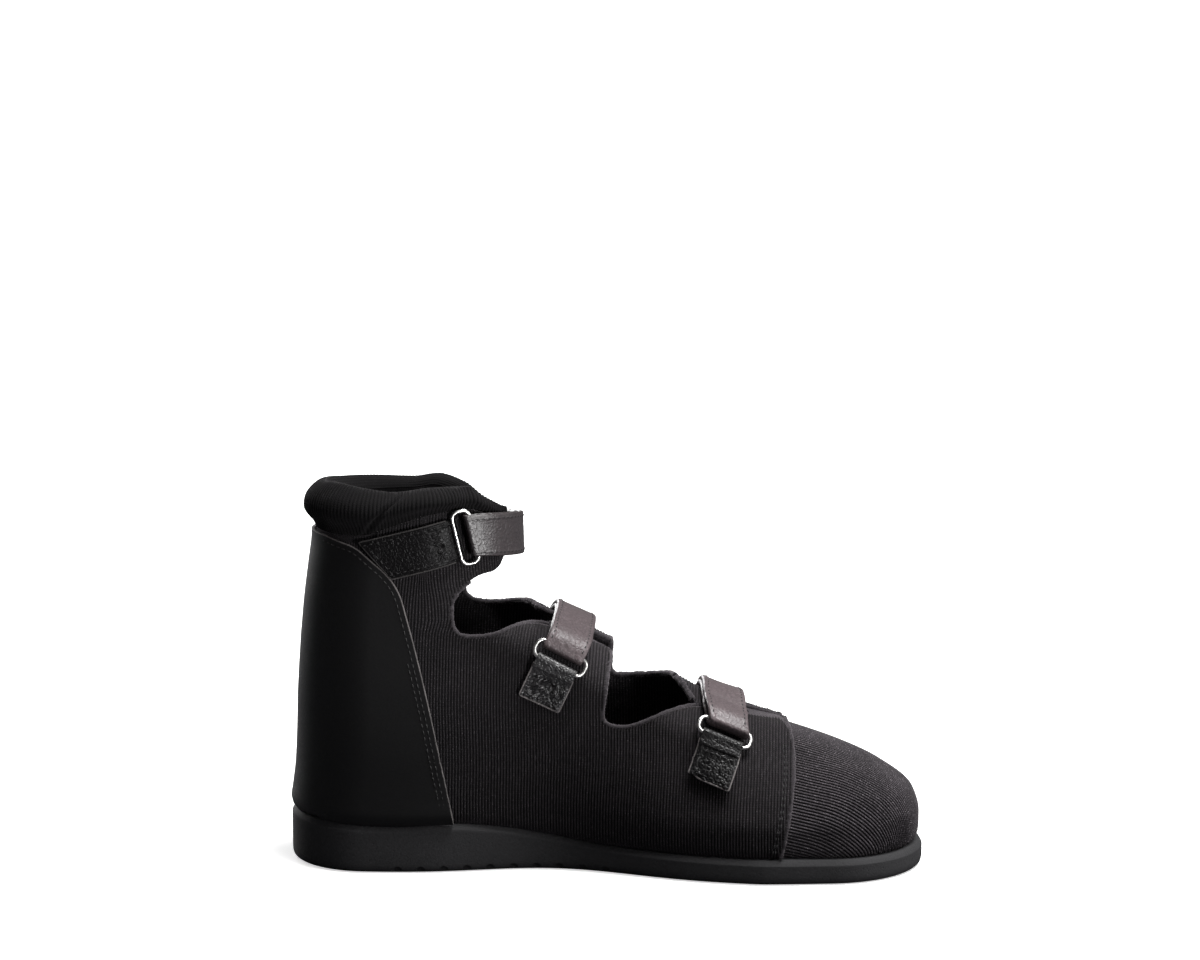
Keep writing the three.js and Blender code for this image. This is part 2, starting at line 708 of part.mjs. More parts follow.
// Flat frame of the ring, from its fixed bar: run towards the strap, bar across it, and outward.
// It rests on whichever of the bar's middle and ends stands highest.
function ringFrame(row) {
  const run = leaning(row.ringLean);
  const across = sideView(-run.z, run.x);
  const seat = (s, w) => {
    const place = sideView(row.x, row.z).addScaledVector(run, s).addScaledVector(across, w);
    return seatAt(place, CHAPE_BAR);
  };
  const half = BAR_SPACING / 2;
  const middle = seat(half, 0);
  const ends = [-STRAP_WIDTH / 2, STRAP_WIDTH / 2].map((w) => seat(half, w));
  const bar = ends[1].clone().sub(ends[0]).normalize();
  const ahead = seat(BAR_SPACING, 0).sub(seat(0, 0));
  ahead.addScaledVector(bar, -ahead.dot(bar)).normalize();
  const out = new THREE.Vector3().crossVectors(ahead, bar);
  const lift = Math.max(0, ...ends.map((end) => end.sub(middle).dot(out)));
  const origin = middle.addScaledVector(out, lift).addScaledVector(ahead, -half);
  const place = (s, w, o) => origin.clone()
    .addScaledVector(ahead, s)
    .addScaledVector(bar, w)
    .addScaledVector(out, o);
  return { run, across, place };
}

// Strip of leather: stations along it, each with an outer and an inner place, spread across its width
function strip(stations, place) {
  const spread = ({ s, o }) => ACROSS.map((w) => place(s, w, o));
  return slab(stations.map(({ front }) => spread(front)), stations.map(({ back }) => spread(back)));
}

const ACROSS = [-0.5, 0, 0.5].map((share) => share * STRAP_WIDTH);
const arc = (centre, radius, degrees) => ({
  s: centre.s + radius * Math.cos(degrees * DEGREE),
  o: centre.o + radius * Math.sin(degrees * DEGREE),
});

// Tab that holds the ring: sewn flat, then one layer passes under the bar and curls up inside the ring
const CHAPE_CURL = { from: -90, to: 70, step: 32 };
const CHAPE_PLATE = { parts: 7, end: 3 };
const CHAPE_FLAT = { near: 1.5, far: 7 };

function chape(row, frame) {
  const bar = { s: 0, o: CHAPE_BAR };
  const inside = WIRE + SEAT;
  const top = CHAPE_SEAT + CHAPE_LEATHER;
  const stations = [];
  for (let k = 0; k <= CHAPE_PLATE.parts; k += 1) {
    const s = -THREE.MathUtils.lerp(row.chape, CHAPE_PLATE.end, k / CHAPE_PLATE.parts);
    stations.push({ front: { s, o: top }, back: { s, o: CHAPE_SEAT } });
  }
  stations.push({ front: { s: -inside, o: bar.o - inside }, back: { s: -inside, o: CHAPE_SEAT } });
  for (let turn = CHAPE_CURL.from; turn <= CHAPE_CURL.to; turn += CHAPE_CURL.step) {
    stations.push({ front: arc(bar, inside, turn), back: arc(bar, inside + CHAPE_LOOP, turn) });
  }
  const onSkin = (s, w, o) => {
    const slant = row.skew * w * smooth(CHAPE_FLAT.near, row.chape, -s);
    const middle = sideView(row.x, row.z).addScaledVector(frame.run, s - slant);
    const point = seatAt(middle.addScaledVector(frame.across, w), top);
    return point.addScaledVector(normalAt(point), o);
  };
  return strip(stations, (s, w, o) => {
    const share = smooth(CHAPE_FLAT.near, CHAPE_FLAT.far, -s);
    const rigid = frame.place(s, w, o);
    return share > 0 ? rigid.lerp(onSkin(s, w, o), share) : rigid;
  });
}

// Strap: comes over the foot, passes under the free bar, folds round it and goes back over itself
const STRAP_FOLD = { from: 270, to: 90, step: 30 };
const STRAP_FLAT = { near: 2, far: 14 };
const STRAP_HUMP = { from: 3, to: 14 };
const STRAP_NEAR = [1, 3, 5, 7.5, 10.5, 14];
const STRAP_STEP = 5.2;
const TIP_RUN = 14;
const LOOP = { step: 2, last: 170 };

function strap(row, frame) {
  const run = leaning(row.strapLean);
  const width = sideView(-run.z, run.x).applyAxisAngle(run, -row.roll * DEGREE);
  const outward = new THREE.Vector3().crossVectors(width, run);
  const barPlace = frame.place(BAR_SPACING, 0, 0);
  const hub = barPlace.clone().setY(0).addScaledVector(run, -row.hub);
  hub.addScaledVector(width, barPlace.clone().sub(hub).dot(width));
  const onLoop = (angle, w) => {
    const way = run.clone().multiplyScalar(Math.cos(angle)).addScaledVector(outward, Math.sin(angle));
    return castOut(hub.clone().addScaledVector(width, w), way);
  };

  // Angle round the hub against the length run from the bar
  const fromHub = barPlace.clone().sub(hub);
  const start = Math.atan2(fromHub.dot(outward), fromHub.dot(run));
  const route = [{ s: 0, angle: start }];
  let prior = onLoop(start, 0);
  for (let angle = start + LOOP.step * DEGREE; angle < LOOP.last * DEGREE; angle += LOOP.step * DEGREE) {
    const next = onLoop(angle, 0);
    route.push({ s: route.at(-1).s + next.distanceTo(prior), angle });
    prior = next;
  }
  const place = (s, w, o) => {
    const share = smooth(STRAP_FLAT.near, STRAP_FLAT.far, s);
    const rigid = frame.place(s + BAR_SPACING, w, o);
    if (share === 0) {
      return rigid;
    }
    const point = onLoop(along(route, 's', 'angle', s), w);
    return rigid.lerp(point.addScaledVector(normalAt(point), o), share);
  };

  const bar = { s: 0, o: STRAP_BAR };
  const inside = WIRE + SEAT;
  const baseTop = STRAP_SEAT + STRAP_LEATHER;
  const lift = (s) => {
    const down = smooth(STRAP_HUMP.from, STRAP_HUMP.to, s);
    return THREE.MathUtils.lerp(bar.o + inside, baseTop + SEAT, down);
  };
  const lengths = (end) => {
    const last = STRAP_NEAR.at(-1);
    const count = Math.round((end - last) / STRAP_STEP);
    const rest = Array.from({ length: count }, (_, k) => THREE.MathUtils.lerp(last, end, (k + 1) / count));
    return [...STRAP_NEAR, ...rest];
  };
  const stations = [];
  lengths(row.base).reverse().forEach((s) => {
    stations.push({ front: { s, o: STRAP_SEAT }, back: { s, o: baseTop } });
  });
  for (let turn = STRAP_FOLD.from; turn >= STRAP_FOLD.to; turn -= STRAP_FOLD.step) {
    stations.push({ front: arc(bar, inside + STRAP_LEATHER, turn), back: arc(bar, inside, turn) });
  }
  lengths(row.free).forEach((s) => {
    stations.push({ front: { s, o: lift(s) + STRAP_LEATHER }, back: { s, o: lift(s) } });
  });
  return strip(stations, (s, w, o) => {
    const slant = row.tip * (w / STRAP_WIDTH) * smooth(row.free - TIP_RUN, row.free, s);
    return place(s + slant, w, o);
  });
}

// Ring: round wire along a rounded rectangle, its strap bar standing higher than its tab bar
function ring(frame) {
  const sides = 6;
  const quarterTurn = 4;
  const half = { s: BAR_SPACING / 2, w: (RING_LENGTH - RING_WIRE) / 2 };
  const tilt = (STRAP_BAR - CHAPE_BAR) / BAR_SPACING;
  const level = (STRAP_BAR + CHAPE_BAR) / 2;
  const middle = BAR_SPACING / 2;
  const rings = [];
  for (let corner = 0; corner < 4; corner += 1) {
    const signS = corner === 0 || corner === 3 ? 1 : -1;
    const signW = corner < 2 ? 1 : -1;
    for (let k = 0; k <= quarterTurn; k += 1) {
      const angle = (corner + k / quarterTurn) * 90 * DEGREE;
      const way = { s: Math.cos(angle), w: Math.sin(angle) };
      const centre = { s: signS * (half.s - RING_CORNER), w: signW * (half.w - RING_CORNER) };
      rings.push(Array.from({ length: sides }, (_, m) => {
        const turn = (m + 0.5) * 2 * Math.PI / sides;
        const reach = RING_CORNER + WIRE * Math.cos(turn);
        const s = centre.s + way.s * reach;
        const o = level + tilt * s + WIRE * Math.sin(turn);
        return frame.place(middle + s, centre.w + way.w * reach, o);
      }));
    }
  }
  return loft(rings, true);
}

// Materials
const knit = { color: 0x1d1b1d, roughness: 0.95, metalness: 0 };
const leather = { color: 0x161516, roughness: 0.5, metalness: 0 };
const strapLeather = { color: 0x2a282a, roughness: 0.55, metalness: 0 };
const soleFoam = { color: 0x262628, roughness: 0.85, metalness: 0 };
const nickel = { color: 0xc9c8c6, roughness: 0.25, metalness: 1 };

const stations = new THREE.Group();
stations.position.set(-SOLE_LENGTH / 2, (SOLE_PLAN.ballIn - SOLE_PLAN.ballOut) / 2, 0);
function addPart(name, geometry, look) {
  const flat = geometry.clone();
  flat.computeVertexNormals();
  const mesh = new THREE.Mesh(flat, new THREE.MeshStandardMaterial(look));
  mesh.name = name;
  stations.add(mesh);
}

addPart('outsole', outsole(), soleFoam);
addPart('vamp', vamp(), knit);
addPart('quarter_medial', innerQuarter(), knit);
addPart('quarter_lateral', outerQuarter(), knit);
addPart('heel_counter', heelCounter(), leather);
addPart('collar', collar(), knit);
for (const row of CLOSURES) {
  const frame = ringFrame(row);
  addPart(`strap_${row.name}`, strap(row, frame), strapLeather);
  addPart(`chape_${row.name}`, chape(row, frame), leather);
  addPart(`ring_${row.name}`, ring(frame), nickel);
}

const shoe = new THREE.Group();
shoe.add(stations);

export default shoe;
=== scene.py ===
import math

import bpy
import numpy as np
from bpy.props import FloatProperty, FloatVectorProperty, PointerProperty
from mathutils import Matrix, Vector

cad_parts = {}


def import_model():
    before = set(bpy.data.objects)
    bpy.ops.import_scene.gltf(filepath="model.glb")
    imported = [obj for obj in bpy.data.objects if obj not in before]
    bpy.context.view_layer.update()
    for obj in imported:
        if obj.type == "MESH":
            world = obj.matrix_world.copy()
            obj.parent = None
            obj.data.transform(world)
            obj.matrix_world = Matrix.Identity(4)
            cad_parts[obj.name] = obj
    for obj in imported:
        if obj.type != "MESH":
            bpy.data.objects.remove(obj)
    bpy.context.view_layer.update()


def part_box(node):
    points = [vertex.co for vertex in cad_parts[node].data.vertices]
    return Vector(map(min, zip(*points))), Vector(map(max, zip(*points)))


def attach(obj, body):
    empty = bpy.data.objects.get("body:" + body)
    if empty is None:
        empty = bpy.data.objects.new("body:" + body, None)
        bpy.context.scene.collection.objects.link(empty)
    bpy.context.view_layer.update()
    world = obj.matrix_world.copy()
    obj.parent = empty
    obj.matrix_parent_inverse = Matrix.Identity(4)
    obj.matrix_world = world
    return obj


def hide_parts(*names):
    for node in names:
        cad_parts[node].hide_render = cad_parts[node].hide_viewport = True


bl_info = {
    "name": "Orthopedic Support Shoe",
    "version": (1, 0, 0),
    "blender": (4, 5, 0),
    "location": "3D View > Sidebar > Support Shoe",
    "description": "Knitted upper, leather counter, ring straps and moulded sole of a support shoe",
    "category": "Add Mesh",
}

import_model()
SOLE_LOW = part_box("outsole")[0]

MM = 0.001
TOP = 178.0
INNER, OUTER = -1, 1


def table(columns, *rows):
    """Columns of a short table by name."""
    return dict(zip(columns.split(), np.array(rows, float).T))


# Millimetres from here on, counted from the back of the sole, with the outer side of the foot at +y
LEVELS = table(
    "z back heel_r ball_x ball_in ball_out front nose_r nose_y waist",
    (6, 5.6, 35.6, 220, 51.5, 48.5, 296, 46, -4, .37),
    (24, 5.3, 35.6, 218, 51.5, 48.5, 296.5, 46, -4, .33),
    (35, 6, 35, 212, 48, 46, 293.5, 42, -4, .26),
    (47, 7, 34.4, 203, 43, 42, 279, 31, -4, .18),
    (56, 7.5, 34, 195, 39, 38, 260, 22, -3, .12),
    (66, 7.9, 33.5, 182, 35.5, 34.5, 231, 16, -3, .06),
    (77, 8.2, 33, 160, 33.5, 33, 196, 15, -3, .02),
    (91, 9, 32.5, 136, 33, 33, 169, 15, -2, 0),
    (104, 9.9, 32, 112, 33, 33, 144, 15, -1, 0),
    (113, 10.7, 31.7, 92, 33, 33, 122, 18, 0, 0),
    (124, 11.8, 31.3, 72, 32.5, 32.5, 105.5, 24, 0, 0),
    (140, 13.9, 30.8, 65, 31.5, 31.5, 102.5, 25, 0, 0),
    (155, 15.7, 30.6, 62, 31, 31, 102, 25, 0, 0),
    (190, 16, 30.6, 60, 31, 31, 101, 25, 0, 0),
)
SOLE_PLAN = table(
    "back heel_r ball_x ball_in ball_out front nose_r nose_y waist",
    (0, 40.5, 222, 55, 52, 298, 48, -4, .375),
)
SOLE_TOP = table("x z", (0, 24), (50, 21.8), (78, 22.6), (100, 20.5), (124, 16.5), (150, 12.6),
                 (180, 11.8), (230, 11.4), (298, 11.2))
SOLE_FOOT = table("height inset", (0, 1.9), (.5, 1.15), (1.2, .55), (2.4, .15), (4, 0))
SOLE_LIP, SOLE_LIP_INSET = 2.6, 1.5
WAIST = {"x": 125, "spread": 51, "outer": .35}
TUCK = table("rise by", (0, 2.9), (1.2, 1.5), (2.6, .6), (4.5, .1), (7, 0))
FLARE = table("rise by", (2, 1.1), (5, .9), (10, .45), (20, 0))
SOLE_SEAT = .12
TREAD_SHOWN = (52, 152)
TREAD_RIM = {"shown": 2.6, "hidden": 7}

# Side-view edges: each corner with the length over which it is rounded
INNER_EDGE = [
    (228, -5, 0), (238, 46, 24), (235.5, 67.5, 7), (183, 78.6, 12), (160, 68.3, 9), (148, 71, 5),
    (152, 102.5, 4), (113, 117.5, 10), (97, 111.5, 7), (79.5, 111, 8), (78.5, 129, 6), (90, 138.5, 5),
    (99.5, 139.5, 4), (102.5, 147, 3), (102.5, 200, 0),
]
OUTER_EDGE = [
    (206, -5, 0), (222, 34, 16), (231, 62, 10), (229, 90, 6), (190, 90, 3), (174, 81, 8), (149, 79, 6),
    (151, 114, 5), (124, 122, 5), (110, 117.5, 8), (94, 114, 7), (79, 116, 8), (78.5, 131, 6),
    (90, 138.5, 5), (97, 140, 4), (99, 147, 3), (99, 200, 0),
]
COUNTER_EDGE = [(81, -5, 0), (79.5, 24, 4), (65, 94, 30), (54, 136, 10), (34.5, 152.5, 4), (18, 156.5, 6),
                (-20, 157, 0)]
VAMP_THROAT = [(205, -5, 0), (197, 60, 10), (197, 200, 0)]
VAMP_LEAN = 27.0
QUARTER_ROWS, QUARTER_RUN, RIDGE_LAP = 66, 254, 30
HEEL_RUN = 52.0
SHAFT_X, SHAFT_Z = 60, 150.0
LOOP_PITCH, ROLL_RIB = 1.1, 1.9
HEM_STEP = .45
HEM_SHARE = {INNER: 1.0, OUTER: 1.3}

# Ends of the strap tabs over the instep; the boxes hold back, front, low and high in side view
FAR_CUTS = [(40, 168, 92, 220), (200, 340, 30, 220)]
ANKLE_CUT, INSTEP_CUT = (85, 140, 128, 200), (100, 168, 92, 130)
TAB_BACK = {"x": 182, "z": 82, "turn": 25}
TAB_RIDGES = {INNER: [(122, 150.5, 13.2), (199, 234, 1.2)], OUTER: [(116, 150.5, 2.2), (199, 229, 1.2)]}
INSTEP_GAP = {INNER: 13, OUTER: 1.6}
INSTEP_BACK = [(111.5, 13), (116.5, 1.6)]
INSTEP_BACK_CUT = {"plan": [(80, -2), (118.1, -2), (110.6, 15), (80, 15)], "low": 108, "high": 136}
ANKLE_END = {"y": 10.5, "low": 146, "high": 158}
TAB_GAP = .8
MIDDLE_GAP = .2
COLLAR_GAP = .05

COLLAR_INNER = table(
    "x seam crest", (10, 157.5, 179), (24, 157.2, 181), (38, 158, 179.5), (52, 162.5, 178), (70, 168, 180),
    (86, 169.4, 180), (91, 168, 175.5), (97, 164.5, 171), (102, 162, 167),
)
COLLAR_OUTER = table(
    "x seam crest", (10, 157.5, 179), (22, 158, 178), (40, 160, 177), (56, 163, 176.5), (68, 164, 178),
    (80, 163.5, 174.5), (89, 162, 168), (98, 160, 164),
)
COLLAR_SECTION = table(
    "rise out", (0, 2.5), (.16, 4.6), (.4, 8.6), (.68, 8), (.9, 4), (1, -.5), (.92, -5), (.7, -7.8), (.4, -8),
    (.14, -5.5), (0, -2),
)
COLLAR_LEVEL = 170
COLLAR_BACK = {"seam": 157.4, "crest": 179.6}
COLLAR_END = {INNER: .94, OUTER: .86}
COLLAR_THIN, COLLAR_TAPER = .35, .3

# Offsets from the skin at which each wall starts
QUARTER_SEAT, COUNTER_SEAT, CHAPE_SEAT, STRAP_SEAT = .3, 3.45, 3.5, 3.6
CLOSURES = {
    "ankle": dict(x=81.3, z=156, ring=14, strap=0, roll=8.5, chape=38.5, skew=.55, hub=27, base=93,
                  free=87, tip=0, open=True),
    "instep": dict(x=127.3, z=97.8, ring=65, strap=64, roll=-2, chape=18.7, skew=0, hub=16, base=93,
                   free=87, tip=0, open=False),
    "forefoot": dict(x=203.8, z=63.2, ring=70, strap=93, roll=-5, chape=17.5, skew=0, hub=20, base=83,
                     free=77, tip=6, open=False),
}
CHAPE_BAR, STRAP_BAR = 5.9, 7.0
BAR_SEAT = .3
STRAP_LEAD, STRAP_STEP = 30, 2

# Metres: floor, lamps and camera
FLOOR_HALF, FLOOR_LEVEL = 40, -.0004
LAMPS = {"key": (30, (.32, -.03, .95)), "side": (30, (.90, -.34, .27)), "rear": (40, (-.46, .86, .22))}
SPOT = {"at": (.258, -.544, .10), "aim": (-.055, -.035, .152), "size": .05, "cone": 24}
CAMERA = {"at": (.0712, -1.6969, .446), "turn": 2.5, "pitch": 8.91, "sensor": 36}


class ShoeKnit(bpy.types.PropertyGroup):
    """Ribbed knit of the upper"""
    rib_pitch: FloatProperty(name="Rib Pitch", description="Distance between the knit's ribs", default=.00140,
                             min=.001, subtype="DISTANCE", unit="LENGTH")
    rib_depth: FloatProperty(name="Rib Depth", description="Depth of the valleys between ribs",
                             default=.00055, min=0, subtype="DISTANCE", unit="LENGTH")
    thickness: FloatProperty(name="Knit Thickness", description="Thickness of the knitted walls",
                             default=.0024, min=.001, subtype="DISTANCE", unit="LENGTH")
    hem: FloatProperty(name="Hem Radius", description="Radius of the overlocked edge", default=.0011,
                       min=.0003, subtype="DISTANCE", unit="LENGTH")
    colour: FloatVectorProperty(name="Yarn", description="Colour of the yarn in the valleys", size=4,
                                default=(.0022, .0019, .0022, 1), min=0, max=1, subtype="COLOR")
    # Crowns take this colour times a painted light level per piece, so their lightness is partly fuzz and
    # partly painted light.
    fuzz: FloatVectorProperty(name="Fuzz", description="Colour of the fibres that stand up on the ribs",
                              size=4, default=(.085, .076, .083, 1), min=0, max=1, subtype="COLOR")


class ShoeLeather(bpy.types.PropertyGroup):
    """Leather of counter, straps and ring tabs"""
    counter: FloatProperty(name="Counter Thickness", description="Thickness of the heel leather",
                           default=.0016, min=.0005, subtype="DISTANCE", unit="LENGTH")
    strap: FloatProperty(name="Strap Thickness", description="Thickness of one strap layer", default=.0022,
                         min=.0005, subtype="DISTANCE", unit="LENGTH")
    chape: FloatProperty(name="Tab Thickness", description="Thickness of the doubled ring tab", default=.0026,
                         min=.0005, subtype="DISTANCE", unit="LENGTH")
    loop: FloatProperty(name="Loop Thickness", description="Thickness of the single layer round the bar",
                        default=.0012, min=.0005, subtype="DISTANCE", unit="LENGTH")
    width: FloatProperty(name="Strap Width", description="Width of straps and ring tabs", default=.020,
                         min=.01, subtype="DISTANCE", unit="LENGTH")
    black: FloatVectorProperty(name="Counter Black", description="Colour of the smooth heel leather", size=4,
                               default=(.003, .0027, .003, 1), min=0, max=1, subtype="COLOR")
    taupe: FloatVectorProperty(name="Strap Grey", description="Colour of the strap's grain", size=4,
                               default=(.16, .128, .134, 1), min=0, max=1, subtype="COLOR")
    crumpled: FloatVectorProperty(name="Tab Black", description="Colour of the creased tab leather", size=4,
                                  default=(.006, .0054, .0058, 1), min=0, max=1, subtype="COLOR")
    raw: FloatVectorProperty(name="Cut Edge", description="Colour of the leather's cut edges", size=4,
                             default=(.5, .455, .45, 1), min=0, max=1, subtype="COLOR")


class ShoeThread(bpy.types.PropertyGroup):
    """Sewing thread"""
    length: FloatProperty(name="Stitch Length", description="Length of one stitch", default=.0023,
                          min=.0005, subtype="DISTANCE", unit="LENGTH")
    gap: FloatProperty(name="Stitch Gap", description="Gap between stitches", default=.0009,
                       min=.0001, subtype="DISTANCE", unit="LENGTH")
    radius: FloatProperty(name="Thread Radius", description="Radius of the thread", default=.00032,
                          min=.0001, subtype="DISTANCE", unit="LENGTH")
    colour: FloatVectorProperty(name="Thread", description="Colour of the thread", size=4,
                                default=(.004, .0035, .0038, 1), min=0, max=1, subtype="COLOR")


class ShoeSole(bpy.types.PropertyGroup):
    """Moulded sole"""
    pitch: FloatProperty(name="Tread Pitch", description="Distance between tread grooves", default=.0107,
                         min=.004, subtype="DISTANCE", unit="LENGTH")
    groove: FloatProperty(name="Groove Width", description="Width of a tread groove", default=.0036,
                          min=.001, subtype="DISTANCE", unit="LENGTH")
    depth: FloatProperty(name="Groove Depth", description="Depth of a tread groove", default=.0018,
                         min=.0005, subtype="DISTANCE", unit="LENGTH")
    colour: FloatVectorProperty(name="Sole", description="Colour of the sole foam", size=4,
                                default=(.024, .0235, .025, 1), min=0, max=1, subtype="COLOR")


class ShoeRing(bpy.types.PropertyGroup):
    """Metal rings"""
    wire: FloatProperty(name="Wire", description="Thickness of the ring's wire", default=.0018,
                        min=.0005, subtype="DISTANCE", unit="LENGTH")
    length: FloatProperty(name="Ring Length", description="Outer length of the ring", default=.027,
                          min=.01, subtype="DISTANCE", unit="LENGTH")
    spacing: FloatProperty(name="Bar Spacing", description="Distance between the ring's two bars",
                           default=.0082, min=.003, subtype="DISTANCE", unit="LENGTH")
    corner: FloatProperty(name="Corner", description="Radius of the ring's corners", default=.0033,
                          min=.001, subtype="DISTANCE", unit="LENGTH")
    colour: FloatVectorProperty(name="Nickel", description="Colour of the plated wire", size=4,
                                default=(.86, .85, .83, 1), min=0, max=1, subtype="COLOR")


class ShoeStage(bpy.types.PropertyGroup):
    """Floor, light and camera"""
    floor: FloatVectorProperty(name="Floor", description="Colour of the floor", size=4,
                               default=(.92, .92, .92, 1), min=0, max=1, subtype="COLOR")
    bounce: FloatVectorProperty(name="Bounce", description="Tone that the floor throws back on the shoe",
                                size=4, default=(.065, .065, .07, 1), min=0, max=1, subtype="COLOR")
    sky: FloatProperty(name="Sky", description="Strength of the even light from all round",
                       default=.075, min=0)
    key: FloatProperty(name="Key Light", description="Strength of the wide lamp overhead", default=4.8, min=0)
    side: FloatProperty(name="Side Light", description="Strength of the low lamp by the toe",
                        default=1.3, min=0)
    rear: FloatProperty(name="Rear Light", description="Strength of the fill from behind", default=2.6, min=0)
    front: FloatProperty(name="Front Light", description="Watts of the small lamp beside the camera",
                         default=9, min=0)
    lens: FloatProperty(name="Lens", description="Focal length of the camera in millimetres",
                        default=110.5, min=20)


GROUPS = {
    "shoe_knit": ShoeKnit, "shoe_leather": ShoeLeather, "shoe_thread": ShoeThread, "shoe_sole": ShoeSole,
    "shoe_ring": ShoeRing, "shoe_stage": ShoeStage,
}


# Curves and the skin that the walls lie on
def mm(length):
    return length / MM


def smooth(low, high, at):
    t = np.clip((at - low) / (high - low), 0, 1)
    return t * t * (3 - 2 * t)


def unit(v):
    return v / np.maximum(np.linalg.norm(v, axis=-1, keepdims=True), 1e-12)


def run_of(line):
    """Distance along a line of points."""
    return np.concatenate(([0], np.cumsum(np.linalg.norm(np.diff(line, axis=0), axis=1))))


def along_line(at, run, values):
    """Points, or other rows of values, at distances along a line."""
    return np.stack([np.interp(at, run, column) for column in values.T], axis=1)


def eased(rows, key, name, at):
    """Value of a table's column between its rows, with no overshoot."""
    xs, ys = rows[key], rows[name]
    at = np.clip(at, xs[0], xs[-1])
    slopes = np.diff(ys) / np.diff(xs)
    both = slopes[:-1] * slopes[1:]
    total = np.where(both > 0, slopes[:-1] + slopes[1:], 1)
    tangents = np.concatenate((slopes[:1], np.where(both > 0, 2 * both / total, 0), slopes[-1:]))
    k = np.clip(np.searchsorted(xs, at) - 1, 0, len(xs) - 2)
    span = xs[k + 1] - xs[k]
    t = (at - xs[k]) / span
    rise = t * t * (3 - 2 * t)
    ends = t * (1 - t) * span * ((1 - t) * tangents[k] - t * tangents[k + 1])
    return ys[k] * (1 - rise) + ys[k + 1] * rise + ends


def level(z):
    return {name: eased(LEVELS, "z", name, z) for name in LEVELS if name != "z"}


def circles(plan):
    """Heel, ball and nose of a plan outline: x, y and radius."""
    return (
        (plan["back"] + plan["heel_r"], 0 * plan["back"], plan["heel_r"]),
        (plan["ball_x"], (plan["ball_out"] - plan["ball_in"]) / 2, (plan["ball_out"] + plan["ball_in"]) / 2),
        (plan["front"] - plan["nose_r"], plan["nose_y"], plan["nose_r"]),
    )


def reach(plan, angles):
    """How far the taut outline reaches in each direction."""
    cos, sin = np.cos(angles), np.sin(angles)
    return np.max([x[:, None] * cos + y[:, None] * sin + r[:, None] for x, y, r in circles(plan)], axis=0)


def drawn_in(plan, x, side):
    share = np.where(np.asarray(side) < 0, 1, WAIST["outer"])
    return 1 - plan["waist"] * share * np.exp(-((x - WAIST["x"]) / WAIST["spread"]) ** 2)


def half_width(x, z, side, plan_at=level):
    """Signed y of the skin at x and z on one side."""
    x, z = np.broadcast_arrays(np.asarray(x, float), np.asarray(z, float))
    shape, x, z = x.shape, x.ravel(), z.ravel()
    fan = np.radians(np.arange(1, 180, .5))
    found = np.empty(x.size)
    for part in np.array_split(np.arange(x.size), 1 + x.size // 4000):
        plan = plan_at(z[part])
        wide = (reach(plan, side * fan) - x[part, None] * np.cos(fan)) / np.sin(fan)
        found[part] = wide.min(axis=1) * drawn_in(plan, x[part], side)
    return side * found.reshape(shape)


def outside(p):
    """Distance in plan from the skin, negative inside it."""
    plan = level(p[:, 2])
    taut = p[:, 1] / drawn_in(plan, p[:, 0], p[:, 1])
    fan = np.radians(np.arange(0, 360, 1.0))
    return np.max(p[:, :1] * np.cos(fan) + taut[:, None] * np.sin(fan) - reach(plan, fan), axis=1)


def normal_at(p):
    return unit(np.stack([outside(p + step) - outside(p - step) for step in .05 * np.eye(3)], axis=1))


def cast_out(start, way):
    """Where rays from inside the shoe leave the skin."""
    low, high = np.zeros(len(start)), np.full(len(start), 300.0)
    for _ in range(36):
        middle = (low + high) / 2
        inside = outside(start + way * middle[:, None]) < 0
        low, high = np.where(inside, middle, low), np.where(inside, high, middle)
    return start + way * high[:, None]


def front_at(z):
    return eased(LEVELS, "z", "front", z)


RIDGE_Z = np.linspace(24, 190, 800)
RIDGE_X = front_at(RIDGE_Z)


def ridge(x):
    """Height of the instep's ridge."""
    return np.interp(x, RIDGE_X[::-1], RIDGE_Z[::-1])


def sole_top(x):
    return eased(SOLE_TOP, "x", "z", x)


def on_side(x, z, side, lift):
    """Point and normal of a wall raised by lift that shows at x, z in side view."""
    x, z = np.asarray(x, float), np.asarray(z, float)
    base = np.stack([x, half_width(x, z, side), z], axis=1)
    for _ in range(3):
        normal = normal_at(base)
        at = np.stack([x - normal[:, 0] * lift, np.zeros(len(x)), z - normal[:, 2] * lift], axis=1)
        base = np.stack([at[:, 0], half_width(at[:, 0], at[:, 2], side), at[:, 2]], axis=1)
    normal = normal_at(base)
    return base + normal * lift, normal


def tucked(points, normals):
    """Lower edge of a wall drawn in where it meets the sole."""
    flat = unit(normals * (1, 1, 0))
    rise = points[..., 2] - sole_top(points[..., 0]) - SOLE_SEAT
    return points - flat * eased(TUCK, "rise", "by", rise)[..., None]


def flared(points, normals):
    """Foot of the heel leather spread out above the sole."""
    rise = points[..., 2] - sole_top(points[..., 0]) - SOLE_SEAT
    return points + unit(normals * (1, 1, 0)) * eased(FLARE, "rise", "by", rise)[..., None]


def outline(corners, closed=True, step=None):
    """Side-view outline through eased corners."""
    count = len(corners)
    path = []
    for k, (x, z, ease) in enumerate(corners):
        at = np.array([x, z], float)
        ends = []
        for other in (corners[k - 1], corners[(k + 1) % count]):
            way = np.array(other[:2], float) - at
            ends.append(at + way * min(ease / np.linalg.norm(way), .5))
        if ease == 0 or (not closed and k in (0, count - 1)):
            path.append(at)
            continue
        for t in np.linspace(0, 1, 9):
            path.append((1 - t) ** 2 * ends[0] + 2 * t * (1 - t) * at + t * t * ends[1])
    path = np.array(path)
    if step is None:
        return path
    return resampled(path, step)


def resampled(path, step):
    """The same line with points at even steps."""
    run = run_of(path)
    return along_line(np.linspace(0, run[-1], max(2, int(round(run[-1] / step)) + 1)), run, path)


def behind(edge):
    return [(-40, -5, 0), *edge, (-40, edge[-1][1], 0)]


def before(edge):
    return [(340, edge[-1][1], 0), (340, -5, 0), *edge]


